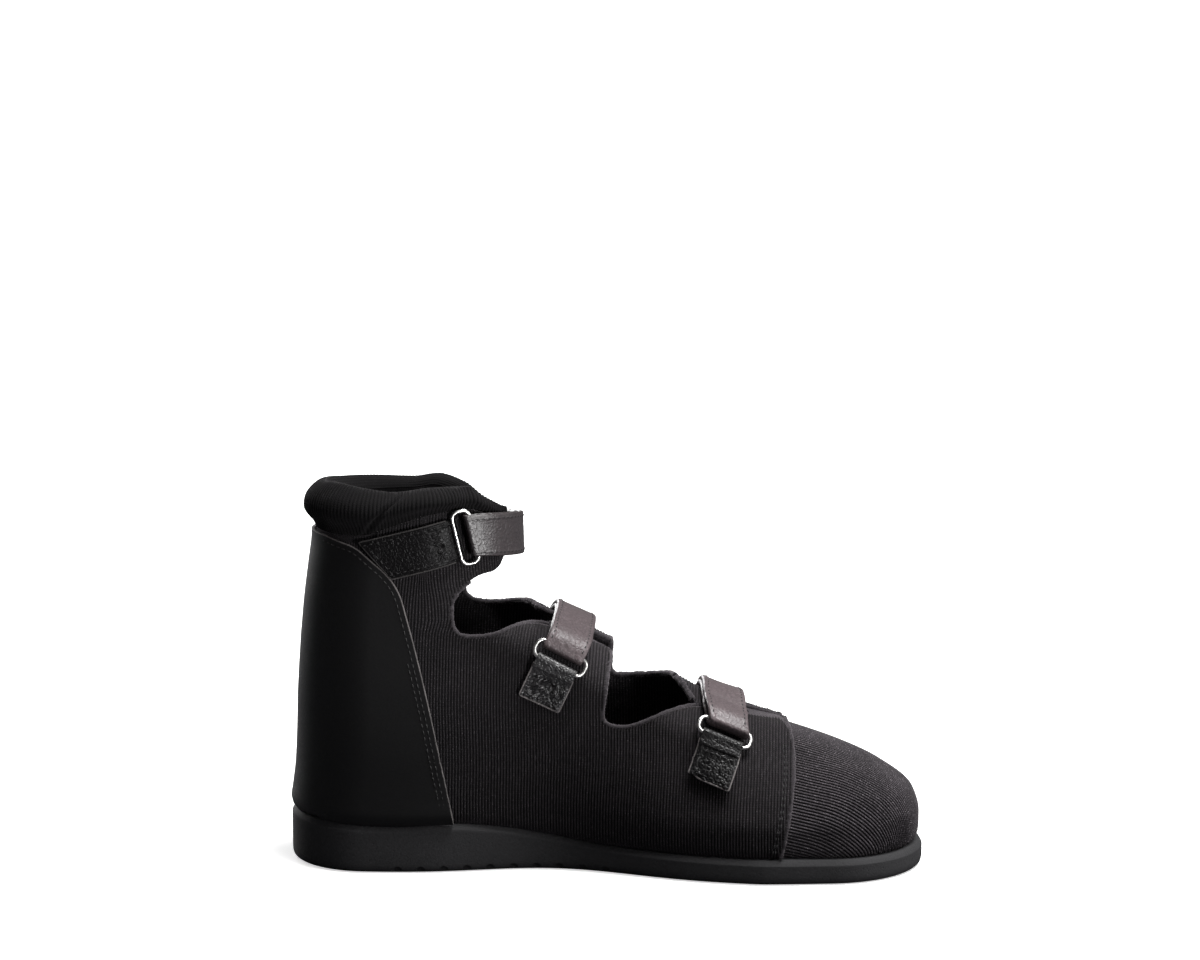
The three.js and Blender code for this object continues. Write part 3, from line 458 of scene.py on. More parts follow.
def seam_height(side, x):
    return eased(COLLAR_INNER if side == INNER else COLLAR_OUTER, "x", "seam", x)


# Meshes
OFFSET = np.array([SOLE_LOW.x / MM, (SOLE_PLAN["ball_in"][0] - SOLE_PLAN["ball_out"][0]) / 2, 0])


class Gather:
    """Points and faces of one piece while it is being made."""

    def __init__(self):
        self.points, self.faces, self.finish, self.knit = [], [], [], []
        self.count = 0

    def add(self, points, faces, finish=0, knit=None):
        points = np.asarray(points, float).reshape(-1, 3)
        self.points.append(points)
        self.knit.append(np.zeros((len(points), 3)) if knit is None else np.asarray(knit).reshape(-1, 3))
        for block in faces:
            block = np.asarray(block)
            if block.size:
                self.faces.append(block + self.count)
                self.finish.append(np.full(len(block), finish))
        self.count += len(points)

    def object(self, name, materials):
        points = np.concatenate(self.points)
        sizes = np.concatenate([np.full(len(block), block.shape[1]) for block in self.faces])
        loops = np.concatenate([block.ravel() for block in self.faces])
        mesh = bpy.data.meshes.new(name)
        mesh.vertices.add(len(points))
        mesh.vertices.foreach_set("co", ((points + OFFSET) * MM).ravel())
        mesh.loops.add(len(loops))
        mesh.loops.foreach_set("vertex_index", loops.astype(np.int32))
        mesh.polygons.add(len(sizes))
        mesh.polygons.foreach_set("loop_start", np.concatenate(([0], np.cumsum(sizes)[:-1])).astype(np.int32))
        mesh.polygons.foreach_set("material_index", np.concatenate(self.finish).astype(np.int32))
        course = mesh.attributes.new("knit", "FLOAT_VECTOR", "POINT")
        course.data.foreach_set("vector", np.concatenate(self.knit).ravel())
        mesh.update(calc_edges=True)
        if mesh.validate(clean_customdata=False):
            raise RuntimeError(f"{name} has faces that can't be made")
        made = bpy.data.objects.new(name, mesh)
        bpy.context.scene.collection.objects.link(made)
        for material in materials:
            mesh.materials.append(material)
        return made


def grid_faces(columns, rows):
    at = np.arange(columns * rows).reshape(columns, rows)
    return np.stack([at[:-1, :-1], at[1:, :-1], at[1:, 1:], at[:-1, 1:]], axis=-1).reshape(-1, 4)


def volume(points, faces):
    total = 0
    for block in faces:
        for k in range(1, block.shape[1] - 1):
            a, b, c = points[block[:, 0]], points[block[:, k]], points[block[:, k + 1]]
            total += np.einsum("ij,ij->", a, np.cross(b, c))
    return total


def facing_out(points, faces):
    return [block[:, ::-1] for block in faces] if volume(points, faces) < 0 else faces


def slab(outer, inner):
    """Closed wall between two grids."""
    columns, rows = outer.shape[:2]
    at = np.arange(columns * rows).reshape(columns, rows)
    border = np.concatenate([at[:, 0], at[-1, 1:], at[-2::-1, -1], at[0, -2:0:-1]])
    after = np.roll(border, -1)
    faces = grid_faces(columns, rows)
    under = columns * rows
    rim = np.stack([after, border, border + under, after + under], axis=1)
    points = np.concatenate([outer.reshape(-1, 3), inner.reshape(-1, 3)])
    return points, facing_out(points, [faces, faces[:, ::-1] + under, rim])


def ring_faces(rings, closed=False):
    """Faces from each ring of points to the next."""
    count, size = rings.shape[:2]
    at = np.arange(count * size).reshape(count, size)
    here, then = (at, np.roll(at, -1, axis=0)) if closed else (at[:-1], at[1:])
    return np.stack([here, np.roll(here, -1, 1), np.roll(then, -1, 1), then], axis=-1).reshape(-1, 4)


def loft(rings, closed=False):
    """Closed skin over rings of points."""
    faces = [ring_faces(rings, closed)]
    if not closed:
        count, size = rings.shape[:2]
        first = np.arange(size)[None]
        faces += [first[:, ::-1], first + (count - 1) * size]
    points = rings.reshape(-1, 3)
    return points, facing_out(points, faces)


def cross_bar(section, low, high):
    """Bar across the shoe with a side-view section."""
    ends = [np.column_stack([section[:, 0], np.full(len(section), y), section[:, 1]]) for y in (low, high)]
    return loft(np.array(ends))


def tube(path, normals, radius, sides=8, twist=0, depth=0):
    """Cord along a path; with twist and depth it shows the turns of an overlocked edge."""
    along = unit(np.gradient(path, axis=0))
    across = unit(np.cross(along, normals))
    up = np.cross(across, along)
    run = run_of(path)
    turn = np.arange(sides) * 2 * np.pi / sides
    radii = np.broadcast_to(np.asarray(radius, float), run.shape)[:, None] * np.ones(sides)
    if twist:
        radii = radii * (1 + depth * np.sin(run[:, None] * 2 * np.pi / twist + turn))
    rings = path[:, None] + radii[..., None] * (
        np.cos(turn)[:, None] * up[:, None] + np.sin(turn)[:, None] * across[:, None])
    return loft(rings)


def stitch_row(gather, path, normals, thread, finish, lift=0.0):
    """Row of stitches along a line on a surface."""
    pitch = mm(thread.length + thread.gap)
    run = run_of(path)
    radius = mm(thread.radius)
    t = np.linspace(-1, 1, 6)
    for k in range(int(run[-1] / pitch)):
        at = np.linspace(k * pitch, k * pitch + mm(thread.length), len(t))
        up = unit(along_line(at, run, normals))
        line = along_line(at, run, path) + up * (lift + radius * (.75 - 1.3 * t[:, None] ** 2))
        points, faces = tube(line, up, radius * np.sqrt(np.maximum(1.02 - t ** 2 * .8, .05)), sides=6)
        gather.add(points, faces, finish)


def carve(piece, cutter, operation):
    """Cuts a piece to shape; the cut faces take the cutter's material."""
    step = piece.modifiers.new("cut", "BOOLEAN")
    step.operation, step.solver, step.object = operation, "MANIFOLD", cutter
    step.material_mode = "TRANSFER"
    shown = bpy.context.evaluated_depsgraph_get()
    mesh = bpy.data.meshes.new_from_object(piece.evaluated_get(shown))
    piece.modifiers.clear()
    old = piece.data
    piece.data = mesh
    mesh.name = piece.name
    bpy.data.meshes.remove(old)
    bpy.data.objects.remove(cutter)
    if not len(mesh.polygons):
        raise RuntimeError(f"nothing is left of {piece.name}")


def side_block(corners, low, high, material):
    """Cutter with a side-view outline."""
    path = outline(corners)
    keep = np.linalg.norm(path - np.roll(path, 1, axis=0), axis=1) > 1e-6
    gather = Gather()
    gather.add(*cross_bar(path[keep], low, high))
    return gather.object("cutter", [material])


def side_box(back, front, low, high):
    return [(back, low, 0), (front, low, 0), (front, high, 0), (back, high, 0)]


def under_sole(material):
    """Cutter under the sole's upper face."""
    x = np.linspace(-40, 340, 160)
    top = [(a, b + SOLE_SEAT, 0) for a, b in zip(x, sole_top(x))]
    return side_block([(-40, -20, 0), *top, (340, -20, 0)], -200, 200, material)


def over_seam(side, material):
    x = np.linspace(8, 104, 60)
    seam = [(a, b - COLLAR_GAP, 0) for a, b in zip(x, seam_height(side, x))]
    return side_block([(-40, seam[0][1], 0), *seam, (340, seam[-1][1], 0), (340, 220, 0), (-40, 220, 0)],
                      -200, 200, material)


def joined(piece, *others):
    with bpy.context.temp_override(active_object=piece, selected_editable_objects=[piece, *others]):
        bpy.ops.object.join()
    return piece


def seated(piece, node, angle=50):
    """Shades a finished piece and puts it in its solid's place."""
    mesh = piece.data
    mesh.polygons.foreach_set("use_smooth", np.ones(len(mesh.polygons), bool))
    mesh.set_sharp_from_angle(angle=math.radians(angle))
    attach(piece, "root")
    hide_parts(node)


# Finishes
def put(tree, kind, sockets=None, **settings):
    made = tree.nodes.new(kind)
    for name, value in settings.items():
        setattr(made, name, value)
    for name, value in (sockets or {}).items():
        if isinstance(value, bpy.types.NodeSocket):
            tree.links.new(value, made.inputs[name])
        else:
            made.inputs[name].default_value = value
    return made


def maths(tree, operation, *values):
    return put(tree, "ShaderNodeMath", dict(enumerate(values)), operation=operation).outputs[0]


def between(tree, factor, a, b):
    """Colour between two colours."""
    return put(tree, "ShaderNodeMix", {0: factor, 6: a, 7: b}, data_type="RGBA").outputs[2]


def ranged(tree, value, low, high, to_low=0.0, to_high=1.0):
    return put(tree, "ShaderNodeMapRange", {0: value, 1: low, 2: high, 3: to_low, 4: to_high}).outputs[0]


def effect(name, inputs, outputs, build):
    """Shader node group, made once."""
    if name in bpy.data.node_groups:
        return bpy.data.node_groups[name]
    tree = bpy.data.node_groups.new(name, "ShaderNodeTree")
    for socket, value in inputs.items():
        tree.interface.new_socket(socket, in_out="INPUT", socket_type="NodeSocketFloat").default_value = value
    for socket in outputs:
        tree.interface.new_socket(socket, in_out="OUTPUT", socket_type="NodeSocketFloat")
    start = tree.nodes.new("NodeGroupInput")
    end = tree.nodes.new("NodeGroupOutput")
    for socket, value in build(tree, start.outputs).items():
        tree.links.new(value, end.inputs[socket])
    return tree


def fibre():
    """Short fibres that stand out of yarn: fine height, and a patchy tone."""
    def build(tree, given):
        place = put(tree, "ShaderNodeTexCoord").outputs["Object"]
        fine = put(tree, "ShaderNodeTexNoise", {"Vector": place, "Scale": given["Scale"], "Detail": 4.0,
                                                "Roughness": .7}).outputs[0]
        broad = put(tree, "ShaderNodeTexNoise", {"Vector": place, "Scale": 45.0, "Detail": 3.0}).outputs[0]
        tone = maths(tree, "MULTIPLY", ranged(tree, broad, .3, .7, .55, 1.0),
                     ranged(tree, fine, .3, .75, .25, 1.0))
        tiny = put(tree, "ShaderNodeTexNoise", {"Vector": place, "Scale": 2700.0, "Detail": 1.0}).outputs[0]
        return {"Height": fine, "Tone": tone, "Speck": ranged(tree, tiny, .6, .76)}
    return effect("Fibre", {"Scale": 1800.0}, ("Height", "Tone", "Speck"), build)


def grain():
    """Pebbled leather grain with creases: height, and a tone that is lighter on the crowns."""
    def build(tree, given):
        place = put(tree, "ShaderNodeTexCoord").outputs["Object"]
        bent = put(tree, "ShaderNodeTexNoise", {"Vector": place, "Scale": 260.0, "Detail": 3.0}).outputs[1]
        shift = put(tree, "ShaderNodeVectorMath", {0: bent, 1: (.0022, .0022, .0022)},
                    operation="MULTIPLY").outputs[0]
        moved = put(tree, "ShaderNodeVectorMath", {0: place, 1: shift}, operation="ADD").outputs[0]
        cells = put(tree, "ShaderNodeTexVoronoi", {"Vector": moved, "Scale": given["Scale"]},
                    feature="SMOOTH_F1").outputs["Distance"]
        folds = put(tree, "ShaderNodeTexVoronoi", {"Vector": moved, "Scale": given["Crease Scale"]},
                    feature="DISTANCE_TO_EDGE").outputs["Distance"]
        crease = ranged(tree, folds, 0.0, .22)
        pores = put(tree, "ShaderNodeTexNoise", {"Vector": place, "Scale": 2600.0, "Detail": 2.0}).outputs[0]
        pebble = maths(tree, "SUBTRACT", 1.0, cells)
        height = maths(tree, "ADD", maths(tree, "MULTIPLY", pebble, given["Pebble"]),
                       maths(tree, "MULTIPLY", crease, given["Crease"]))
        height = maths(tree, "ADD", height, maths(tree, "MULTIPLY", pores, .12))
        tone = maths(tree, "MULTIPLY", ranged(tree, pebble, .35, .8),
                     ranged(tree, crease, 0.0, 1.0, .45, 1.0))
        return {"Height": height, "Tone": tone}
    return effect("Grain", {"Scale": 900.0, "Crease Scale": 330.0, "Pebble": .6, "Crease": .5},
                  ("Height", "Tone"), build)


def patina():
    """Broad handling marks: a slow change of tone over a surface."""
    def build(tree, given):
        place = put(tree, "ShaderNodeTexCoord").outputs["Object"]
        broad = put(tree, "ShaderNodeTexNoise", {"Vector": place, "Scale": given["Scale"], "Detail": 5.0,
                                                 "Roughness": .6}).outputs[0]
        return {"Mark": ranged(tree, broad, .35, .68)}
    return effect("Patina", {"Scale": 30.0}, ("Mark",), build)


def material(name):
    made = bpy.data.materials.new(name)
    made.use_nodes = True
    tree = made.node_tree
    tree.nodes.clear()
    shader = tree.nodes.new("ShaderNodeBsdfPrincipled")
    end = tree.nodes.new("ShaderNodeOutputMaterial")
    tree.links.new(shader.outputs[0], end.inputs[0])
    return made, tree, shader


def use(tree, group, **values):
    made = tree.nodes.new("ShaderNodeGroup")
    made.node_tree = group
    for name, value in values.items():
        made.inputs[name.replace("_", " ")].default_value = value
    return made.outputs


def bump(tree, shader, height, distance, strength=1.0):
    made = put(tree, "ShaderNodeBump", {"Height": height, "Distance": distance, "Strength": strength})
    tree.links.new(made.outputs[0], shader.inputs["Normal"])


def kept(name, build):
    """A material, made on first use."""
    return bpy.data.materials.get(name) or build(name)


def knit_finish(looks, name, lift=1.0, sheen=.1):
    """Ribbed knit: crowns painted light and valleys painted dark across each rib, as painted light and shade
    over the crowns' own fuzz, and small loops along each rib.
    """
    def build(name):
        made, tree, shader = material(name)
        course = put(tree, "ShaderNodeSeparateXYZ",
                     {0: put(tree, "ShaderNodeAttribute", attribute_name="knit").outputs["Vector"]}).outputs
        fuzz = use(tree, fibre(), Scale=1500.0)
        across = maths(tree, "ABSOLUTE", maths(tree, "SUBTRACT", maths(tree, "FRACT", course[0]), .5))
        loops = maths(tree, "ABSOLUTE", maths(tree, "SINE", maths(
            tree, "MULTIPLY", maths(tree, "ADD", course[1], across), math.pi)))
        # Each rib's crown is painted light and its valley painted dark: painted light and shade on top of the
        # yarn's fuzz.
        painted_crown_light = ranged(tree, across, .37, .15)
        tone = maths(tree, "MULTIPLY", maths(tree, "MULTIPLY", painted_crown_light, ranged(tree, loops, 0.0, 1.0, .5, 1.0)),
                     fuzz["Tone"])
        # pale is the fuzz colour times lift, each piece's painted light level: the same yarn is painted
        # lighter on the vamp and darker on the side walls and collar.
        pale = [c * lift for c in looks.fuzz[:3]] + [1]
        yarn = between(tree, tone, tuple(looks.colour), tuple(pale))
        # Bright fibre flecks, stronger on the painted crowns and scaled with the painted light level.
        bright = [min(c * 3.2, 1) for c in pale[:3]] + [1]
        specks = maths(tree, "MULTIPLY", fuzz["Speck"], ranged(tree, painted_crown_light, 0.0, 1.0, .15, .8))
        tree.links.new(between(tree, specks, yarn, tuple(bright)), shader.inputs["Base Color"])
        height = maths(tree, "ADD", maths(tree, "MULTIPLY", loops, .6),
                       maths(tree, "MULTIPLY", fuzz["Height"], .9))
        bump(tree, shader, height, .0002, .8)
        shader.inputs["Roughness"].default_value = .95
        shader.inputs["Specular IOR Level"].default_value = .2
        shader.inputs["Sheen Weight"].default_value = sheen
        shader.inputs["Sheen Roughness"].default_value = .5
        shader.inputs["Sheen Tint"].default_value = (.75, .68, .73, 1)
        return made
    return kept(name, build)


def hem_finish(looks):
    """Overlocked edge: looser, paler fibres."""
    def build(name):
        made, tree, shader = material(name)
        fuzz = use(tree, fibre(), Scale=1100.0)
        tree.links.new(between(tree, fuzz["Tone"], tuple(looks.colour), tuple(looks.fuzz)),
                       shader.inputs["Base Color"])
        bump(tree, shader, fuzz["Height"], .0005)
        shader.inputs["Roughness"].default_value = .97
        shader.inputs["Specular IOR Level"].default_value = .15
        shader.inputs["Sheen Weight"].default_value = .35
        shader.inputs["Sheen Tint"].default_value = (.8, .73, .78, 1)
        return made
    return kept("overlocked_edge", build)


def leather_finish(name, colour, pale, rough, scale, crease_scale, pebble, crease, depth, coat=0.0, gloss=.5):
    """Grained leather with paler crowns."""
    def build(name):
        made, tree, shader = material(name)
        skin = use(tree, grain(), Scale=scale, Crease_Scale=crease_scale, Pebble=pebble, Crease=crease)
        marks = use(tree, patina(), Scale=38.0)
        tone = maths(tree, "MULTIPLY", skin["Tone"], ranged(tree, marks["Mark"], 0.0, 1.0, .4, 1.0))
        tree.links.new(between(tree, tone, tuple(colour), tuple(pale)), shader.inputs["Base Color"])
        tree.links.new(ranged(tree, tone, 0.0, 1.0, min(rough + .14, 1), rough), shader.inputs["Roughness"])
        bump(tree, shader, skin["Height"], depth)
        shader.inputs["Coat Weight"].default_value = coat
        shader.inputs["Coat Roughness"].default_value = .3
        shader.inputs["Specular IOR Level"].default_value = gloss
        return made
    return kept(name, build)


def counter_finish(looks):
    return leather_finish("smooth_heel_hide", looks.black, (.005, .0045, .005, 1), rough=.4, scale=1500.0,
                          crease_scale=120.0, pebble=.35, crease=.12, depth=.00006, gloss=.3)


def strap_finish(looks, name):
    # The three straps are one leather: the ankle strap's tone .32 is painted shade and the forefoot strap's
    # 1.1 painted light, lit and shaded copies of it.
    tone, gloss = {"ankle": (.32, .9), "instep": (.92, .3), "forefoot": (1.1, .3)}[name]
    pale = [c * tone for c in looks.taupe[:3]] + [1]
    dark = [c * .5 for c in pale[:3]] + [1]
    return leather_finish(f"grained_strap_hide_{name}", dark, pale, rough=.3, scale=1150.0,
                          crease_scale=330.0, pebble=.75, crease=.35, depth=.00022, coat=.1, gloss=gloss)


def chape_finish(looks, name):
    # The three tabs are one leather: the instep tab's tone 12 paints the glints of its crumpled facets as
    # painted highlight, the ankle tab's .48 is painted shade.
    tone, gloss, coat = {"ankle": (.48, .12, .05), "instep": (12, .9, .25), "forefoot": (1.44, .3, .05)}[name]
    pale = [c * tone for c in looks.crumpled[:3]] + [1]
    return leather_finish(f"ring_tab_hide_{name}", looks.crumpled, pale, rough=.26, scale=1300.0,
                          crease_scale=620.0, pebble=.4, crease=.8, depth=.0002, coat=coat, gloss=gloss)


def raw_finish(looks, name="cut_leather_edge", tone=1.0):
    """Worn cut edge of leather."""
    dark, pale = ([c * tone for c in colour[:3]] + [1] for colour in ((.05, .045, .045), looks.raw))

    def build(name):
        made, tree, shader = material(name)
        fuzz = use(tree, fibre(), Scale=900.0)
        marks = use(tree, patina(), Scale=160.0)
        worn = maths(tree, "MULTIPLY", fuzz["Tone"], ranged(tree, marks["Mark"], 0.0, 1.0, .45, 1.0))
        tree.links.new(between(tree, worn, dark, pale), shader.inputs["Base Color"])
        bump(tree, shader, fuzz["Height"], .0002)
        shader.inputs["Roughness"].default_value = .8
        return made
    return kept(name, build)


def thread_finish(thread):
    """Twisted sewing thread."""
    def build(name):
        made, tree, shader = material(name)
        fuzz = use(tree, fibre(), Scale=2600.0)
        tree.links.new(between(tree, fuzz["Tone"], tuple(thread.colour), (.016, .0145, .0155, 1)),
                       shader.inputs["Base Color"])
        bump(tree, shader, fuzz["Height"], .0001)
        shader.inputs["Roughness"].default_value = .6
        return made
    return kept("sewing_thread", build)


def sole_finish(looks):
    """Matt foamed rubber with fine pores."""
    def build(name):
        made, tree, shader = material(name)
        marks = use(tree, patina(), Scale=55.0)
        place = put(tree, "ShaderNodeTexCoord").outputs["Object"]
        pores = put(tree, "ShaderNodeTexNoise", {"Vector": place, "Scale": 1300.0, "Detail": 4.0,
                                                 "Roughness": .65}).outputs[0]
        specks = put(tree, "ShaderNodeTexVoronoi", {"Vector": place, "Scale": 420.0}).outputs["Distance"]
        tone = maths(tree, "MULTIPLY", ranged(tree, pores, .35, .7),
                     ranged(tree, marks["Mark"], 0.0, 1.0, .5, 1.0))
        pale = [c * 1.9 for c in looks.colour[:3]] + [1]
        tree.links.new(between(tree, tone, tuple(looks.colour), tuple(pale)), shader.inputs["Base Color"])
        height = maths(tree, "ADD", pores, ranged(tree, specks, 0.0, .25, 0.0, .6))
        bump(tree, shader, height, .00018)
        tree.links.new(ranged(tree, tone, 0.0, 1.0, .72, .88), shader.inputs["Roughness"])
        shader.inputs["Specular IOR Level"].default_value = .35
        return made
    return kept("sole_foam", build)


def nickel_finish(looks):
    """Bright plated wire with faint rubbing marks."""
    def build(name):
        made, tree, shader = material(name)
        marks = use(tree, patina(), Scale=240.0)
        worn = [c * .8 for c in looks.colour[:3]] + [1]
        tree.links.new(between(tree, marks["Mark"], tuple(worn), tuple(looks.colour)),
                       shader.inputs["Base Color"])
        tree.links.new(ranged(tree, marks["Mark"], 0.0, 1.0, .27, .38), shader.inputs["Roughness"])
        shader.inputs["Metallic"].default_value = 1
        return made
    return kept("nickel_plate", build)


def hook_finish():
    """Hook tape under the strap's end."""
    def build(name):
        made, tree, shader = material(name)
        place = put(tree, "ShaderNodeTexCoord").outputs["Object"]
        hooks = put(tree, "ShaderNodeTexVoronoi", {"Vector": place, "Scale": 900.0}).outputs["Distance"]
        marks = use(tree, patina(), Scale=90.0)
        tone = maths(tree, "MULTIPLY", ranged(tree, hooks, .5, .0),
                     ranged(tree, marks["Mark"], 0.0, 1.0, .6, 1.0))
        tree.links.new(between(tree, tone, (.006, .006, .006, 1), (.03, .029, .03, 1)),
                       shader.inputs["Base Color"])
        bump(tree, shader, tone, .0006)
        shader.inputs["Roughness"].default_value = .7
        return made
    return kept("hook_tape", build)


# Pieces
def flat_plan(z):
    """The sole's plan, the same at every height."""
    return {name: np.full(np.shape(z), value[0]) for name, value in SOLE_PLAN.items()}


class SHOE_OT_outsole(bpy.types.Operator):
    """Moulded sole with a thick heel, a drawn-in waist and tread grooves"""
    bl_idname = "shoe.outsole"
    bl_label = "Outsole"

    def execute(self, context):
        looks = context.scene.shoe_sole
        finish = sole_finish(looks)
        x = 149 - 149 * np.cos(np.linspace(0, np.pi, 150))
        x[0], x[-1] = .02, 297.98
        inner = np.stack([x, half_width(x, 0 * x, INNER, flat_plan)], axis=1)
        outer = np.stack([x, half_width(x, 0 * x, OUTER, flat_plan)], axis=1)[::-1][1:-1]
        around = np.concatenate([inner, outer])
        spine = np.stack([np.clip(around[:, 0], 40.5, 250), np.full(len(around), -2.0)], axis=1)
        inward = unit(spine - around)
        top = sole_top(around[:, 0])
        rings = []
        for height in (0, .2, .5, .85, 1.2, 1.8, 2.4, 3.2, 4):
            inset = eased(SOLE_FOOT, "height", "inset", height)
            rings.append(np.column_stack([around + inward * inset, np.full(len(top), height)]))
        for share in (.3, .6, .93):
            rings.append(np.column_stack([around, 4 + (top - SOLE_LIP - 4) * share]))
        for share, by in ((0, 0), (.06, .04), (.94, .94), (1, 1.05)):
            lip = around + inward * SOLE_LIP_INSET * by
            rings.append(np.column_stack([lip, top - SOLE_LIP * (1 - share)]))
        rings.append(np.column_stack([around + inward * 6, top]))
        gather = Gather()
        gather.add(*loft(np.array(rings)))
        piece = gather.object("sole_block", [finish])
        pitch, groove, depth = mm(looks.pitch), mm(looks.groove), mm(looks.depth)
        cuts = Gather()
        for station in np.arange(pitch, 298 - pitch, pitch):
            shown = TREAD_SHOWN[0] < station < TREAD_SHOWN[1]
            rim = TREAD_RIM["shown" if shown else "hidden"]
            low = half_width(station, 0.0, INNER, flat_plan) + rim
            high = half_width(station, 0.0, OUTER, flat_plan) - rim
            if high - low < 14:
                continue
            section = np.array([(-1, -1), (1, -1), (.8, 1), (-.8, 1)]) * (groove / 2, depth)
            cuts.add(*cross_bar(section + (station, 0), low, high))
            if shown:
                arch = np.radians(np.linspace(0, 180, 13))
                section = np.column_stack([groove * .6 * np.cos(arch), .9 + depth * 1.15 * np.sin(arch)])
                for edge, way in ((low - rim, -1), (high + rim, 1)):
                    cuts.add(*cross_bar(section + (station, 0), edge - way * 1.5, edge + way * 6))
        carve(piece, cuts.object("cutter", [finish]), "DIFFERENCE")
        seated(piece, "outsole", 24)
        return {"FINISHED"}


def ribs(count, samples=4):
    """Profile of the knit across its ribs: wide crowns, narrow valleys."""
    return np.array([-1, -.3, 0, -.3])[np.arange(count) % samples]


def rib_columns(pitch, last):
    """Rib places from the heel's back: few where the counter hides them, then four to a rib."""
    hidden = np.linspace(0, HEEL_RUN - 2, 14)[:-1]
    shown = np.arange(HEEL_RUN - 2, last, pitch / 4)
    profile = np.concatenate([np.full(len(hidden), -.3), ribs(len(shown))])
    return np.concatenate([hidden, shown]), profile, len(hidden)


def shaft_run(side):
    """Distance round the shaft's front against x, at the height of its narrow part."""
    front = front_at(SHAFT_Z)
    x = front - (front - SHAFT_X) * np.linspace(1, 0, 160) ** 2
    line = np.stack([x, half_width(x, SHAFT_Z, side)], axis=1)
    return SHAFT_X + run_of(line), x


def heel_centre(z):
    return eased(LEVELS, "z", "back", z) + eased(LEVELS, "z", "heel_r", z)


def quarter_grid(side, places, rows, over):
    """Lengths of knit from the sole up to the collar or over the ridge, one for each rib place."""
    run, shaft = shaft_run(side)
    level_centre = heel_centre(40.0)
    plain = places - HEEL_RUN + level_centre
    tip = run[-1]
    past = plain > tip
    tops = np.where(past, ridge(np.maximum(plain, 100)), TOP)
    up = np.linspace(0, 1, 150)
    z = 4 + (tops[:, None] - 4) * (1 - (1 - up) ** 2)
    straight = np.where(past[:, None], 1 - smooth(-34, -6, z - tops[:, None]), 1)
    x = plain[:, None] + (heel_centre(z) - level_centre) * straight
    wrap = smooth(112, 136, z) * smooth(58, 70, plain)[:, None]
    at_shaft = np.interp(plain, run, shaft)[:, None] + front_at(z) - front_at(SHAFT_Z)
    at_shaft = np.where(plain[:, None] > SHAFT_X, at_shaft, x)
    x = np.where(plain[:, None] <= tip, x + (at_shaft - x) * wrap, x)
    x = np.minimum(x, front_at(z) - 1e-3)
    y = half_width(x, z, side)
    heel = places < HEEL_RUN
    turn = (places[heel] / HEEL_RUN * np.pi / 2)[:, None]
    radius = eased(LEVELS, "z", "heel_r", z[heel])
    x[heel] = heel_centre(z[heel]) - radius * np.cos(turn)
    y[heel] = np.where(turn > 1e-6, half_width(x[heel], z[heel], side), 0)
    lines = np.stack([x, y, z], axis=-1)
    if over:
        far_z = tops[:, None] - (tops[:, None] - 4) * (up[1:] * .6) ** 2
        far_x = np.minimum(np.broadcast_to(plain[:, None], far_z.shape), front_at(far_z) - 1e-3)
        far_y = half_width(far_x, far_z, -side)
        far = np.stack([far_x, far_y, far_z], axis=-1)
        far[~past] = lines[~past, -1:]
        lines = np.concatenate([lines, far], axis=1)
    steps = np.linalg.norm(np.diff(lines, axis=1), axis=2)
    along = np.concatenate([np.zeros((len(places), 1)), np.cumsum(steps, axis=1)], axis=1)
    crest = along[:, len(up) - 1]
    whole = crest + np.where(past, np.minimum(along[:, -1] - crest, over), 0) if over else crest
    split = np.where(plain <= tip, ridge(tip), ridge(np.maximum(plain, tip))) - 8
    low_rows = round(rows * .62)
    grid = np.empty((len(places), rows, 3))
    course = np.empty((len(places), rows))
    for k in range(len(places)):
        turn_at = np.interp(split[k], z[k], along[k, : len(up)])
        at = np.concatenate([np.linspace(0, turn_at, low_rows, endpoint=False),
                             np.linspace(turn_at, whole[k], rows - low_rows)])
        course[k] = at
        for axis in range(3):
            grid[k, :, axis] = np.interp(at, along[k], lines[k, :, axis])
    return grid, course


def grid_normals(grid, side):
    normal = np.cross(np.gradient(grid, axis=0), np.gradient(grid, axis=1))
    size = np.linalg.norm(normal, axis=-1)
    normal[size < 1e-9] = (1, 0, 0)
    normal = unit(normal)
    lower = normal[:, : grid.shape[1] // 3, 1]
    return normal if np.mean(lower) * side > 0 else -normal


def knit_marks(ribs_at, course):
    """Rib and loop count at each point, for both faces of a knitted wall."""
    across = np.broadcast_to(ribs_at[:, None], course.shape)
    marks = np.stack([across, course / LOOP_PITCH, 0 * course], axis=-1)
    return np.concatenate([marks.reshape(-1, 3)] * 2)


def quarter_wall(side, knit):
    """Ribbed side wall before it is cut to its outline."""
    pitch, depth = mm(knit.rib_pitch), mm(knit.rib_depth)
    places, rib, hidden = rib_columns(pitch, QUARTER_RUN)
    grid, course = quarter_grid(side, places, QUARTER_ROWS, RIDGE_LAP)
    normals = grid_normals(grid, side)
    apart = np.linalg.norm(np.gradient(grid, axis=0), axis=-1) / (pitch / 4)
    crowded = ((apart < .7) | (apart > 1.6)) & (places > HEEL_RUN)[:, None]
    normals[crowded] = normal_at(grid[crowded])
    grid = tucked(grid, normals)
    relief = depth * rib[:, None] * smooth(.2, .8, apart)
    outer = grid + normals * (QUARTER_SEAT + mm(knit.thickness) + relief)[..., None]
    inner = grid + normals * QUARTER_SEAT
    gather = Gather()
    gather.add(*slab(outer, inner), 0, knit_marks(places / pitch - places[hidden] / pitch, course))
    return gather


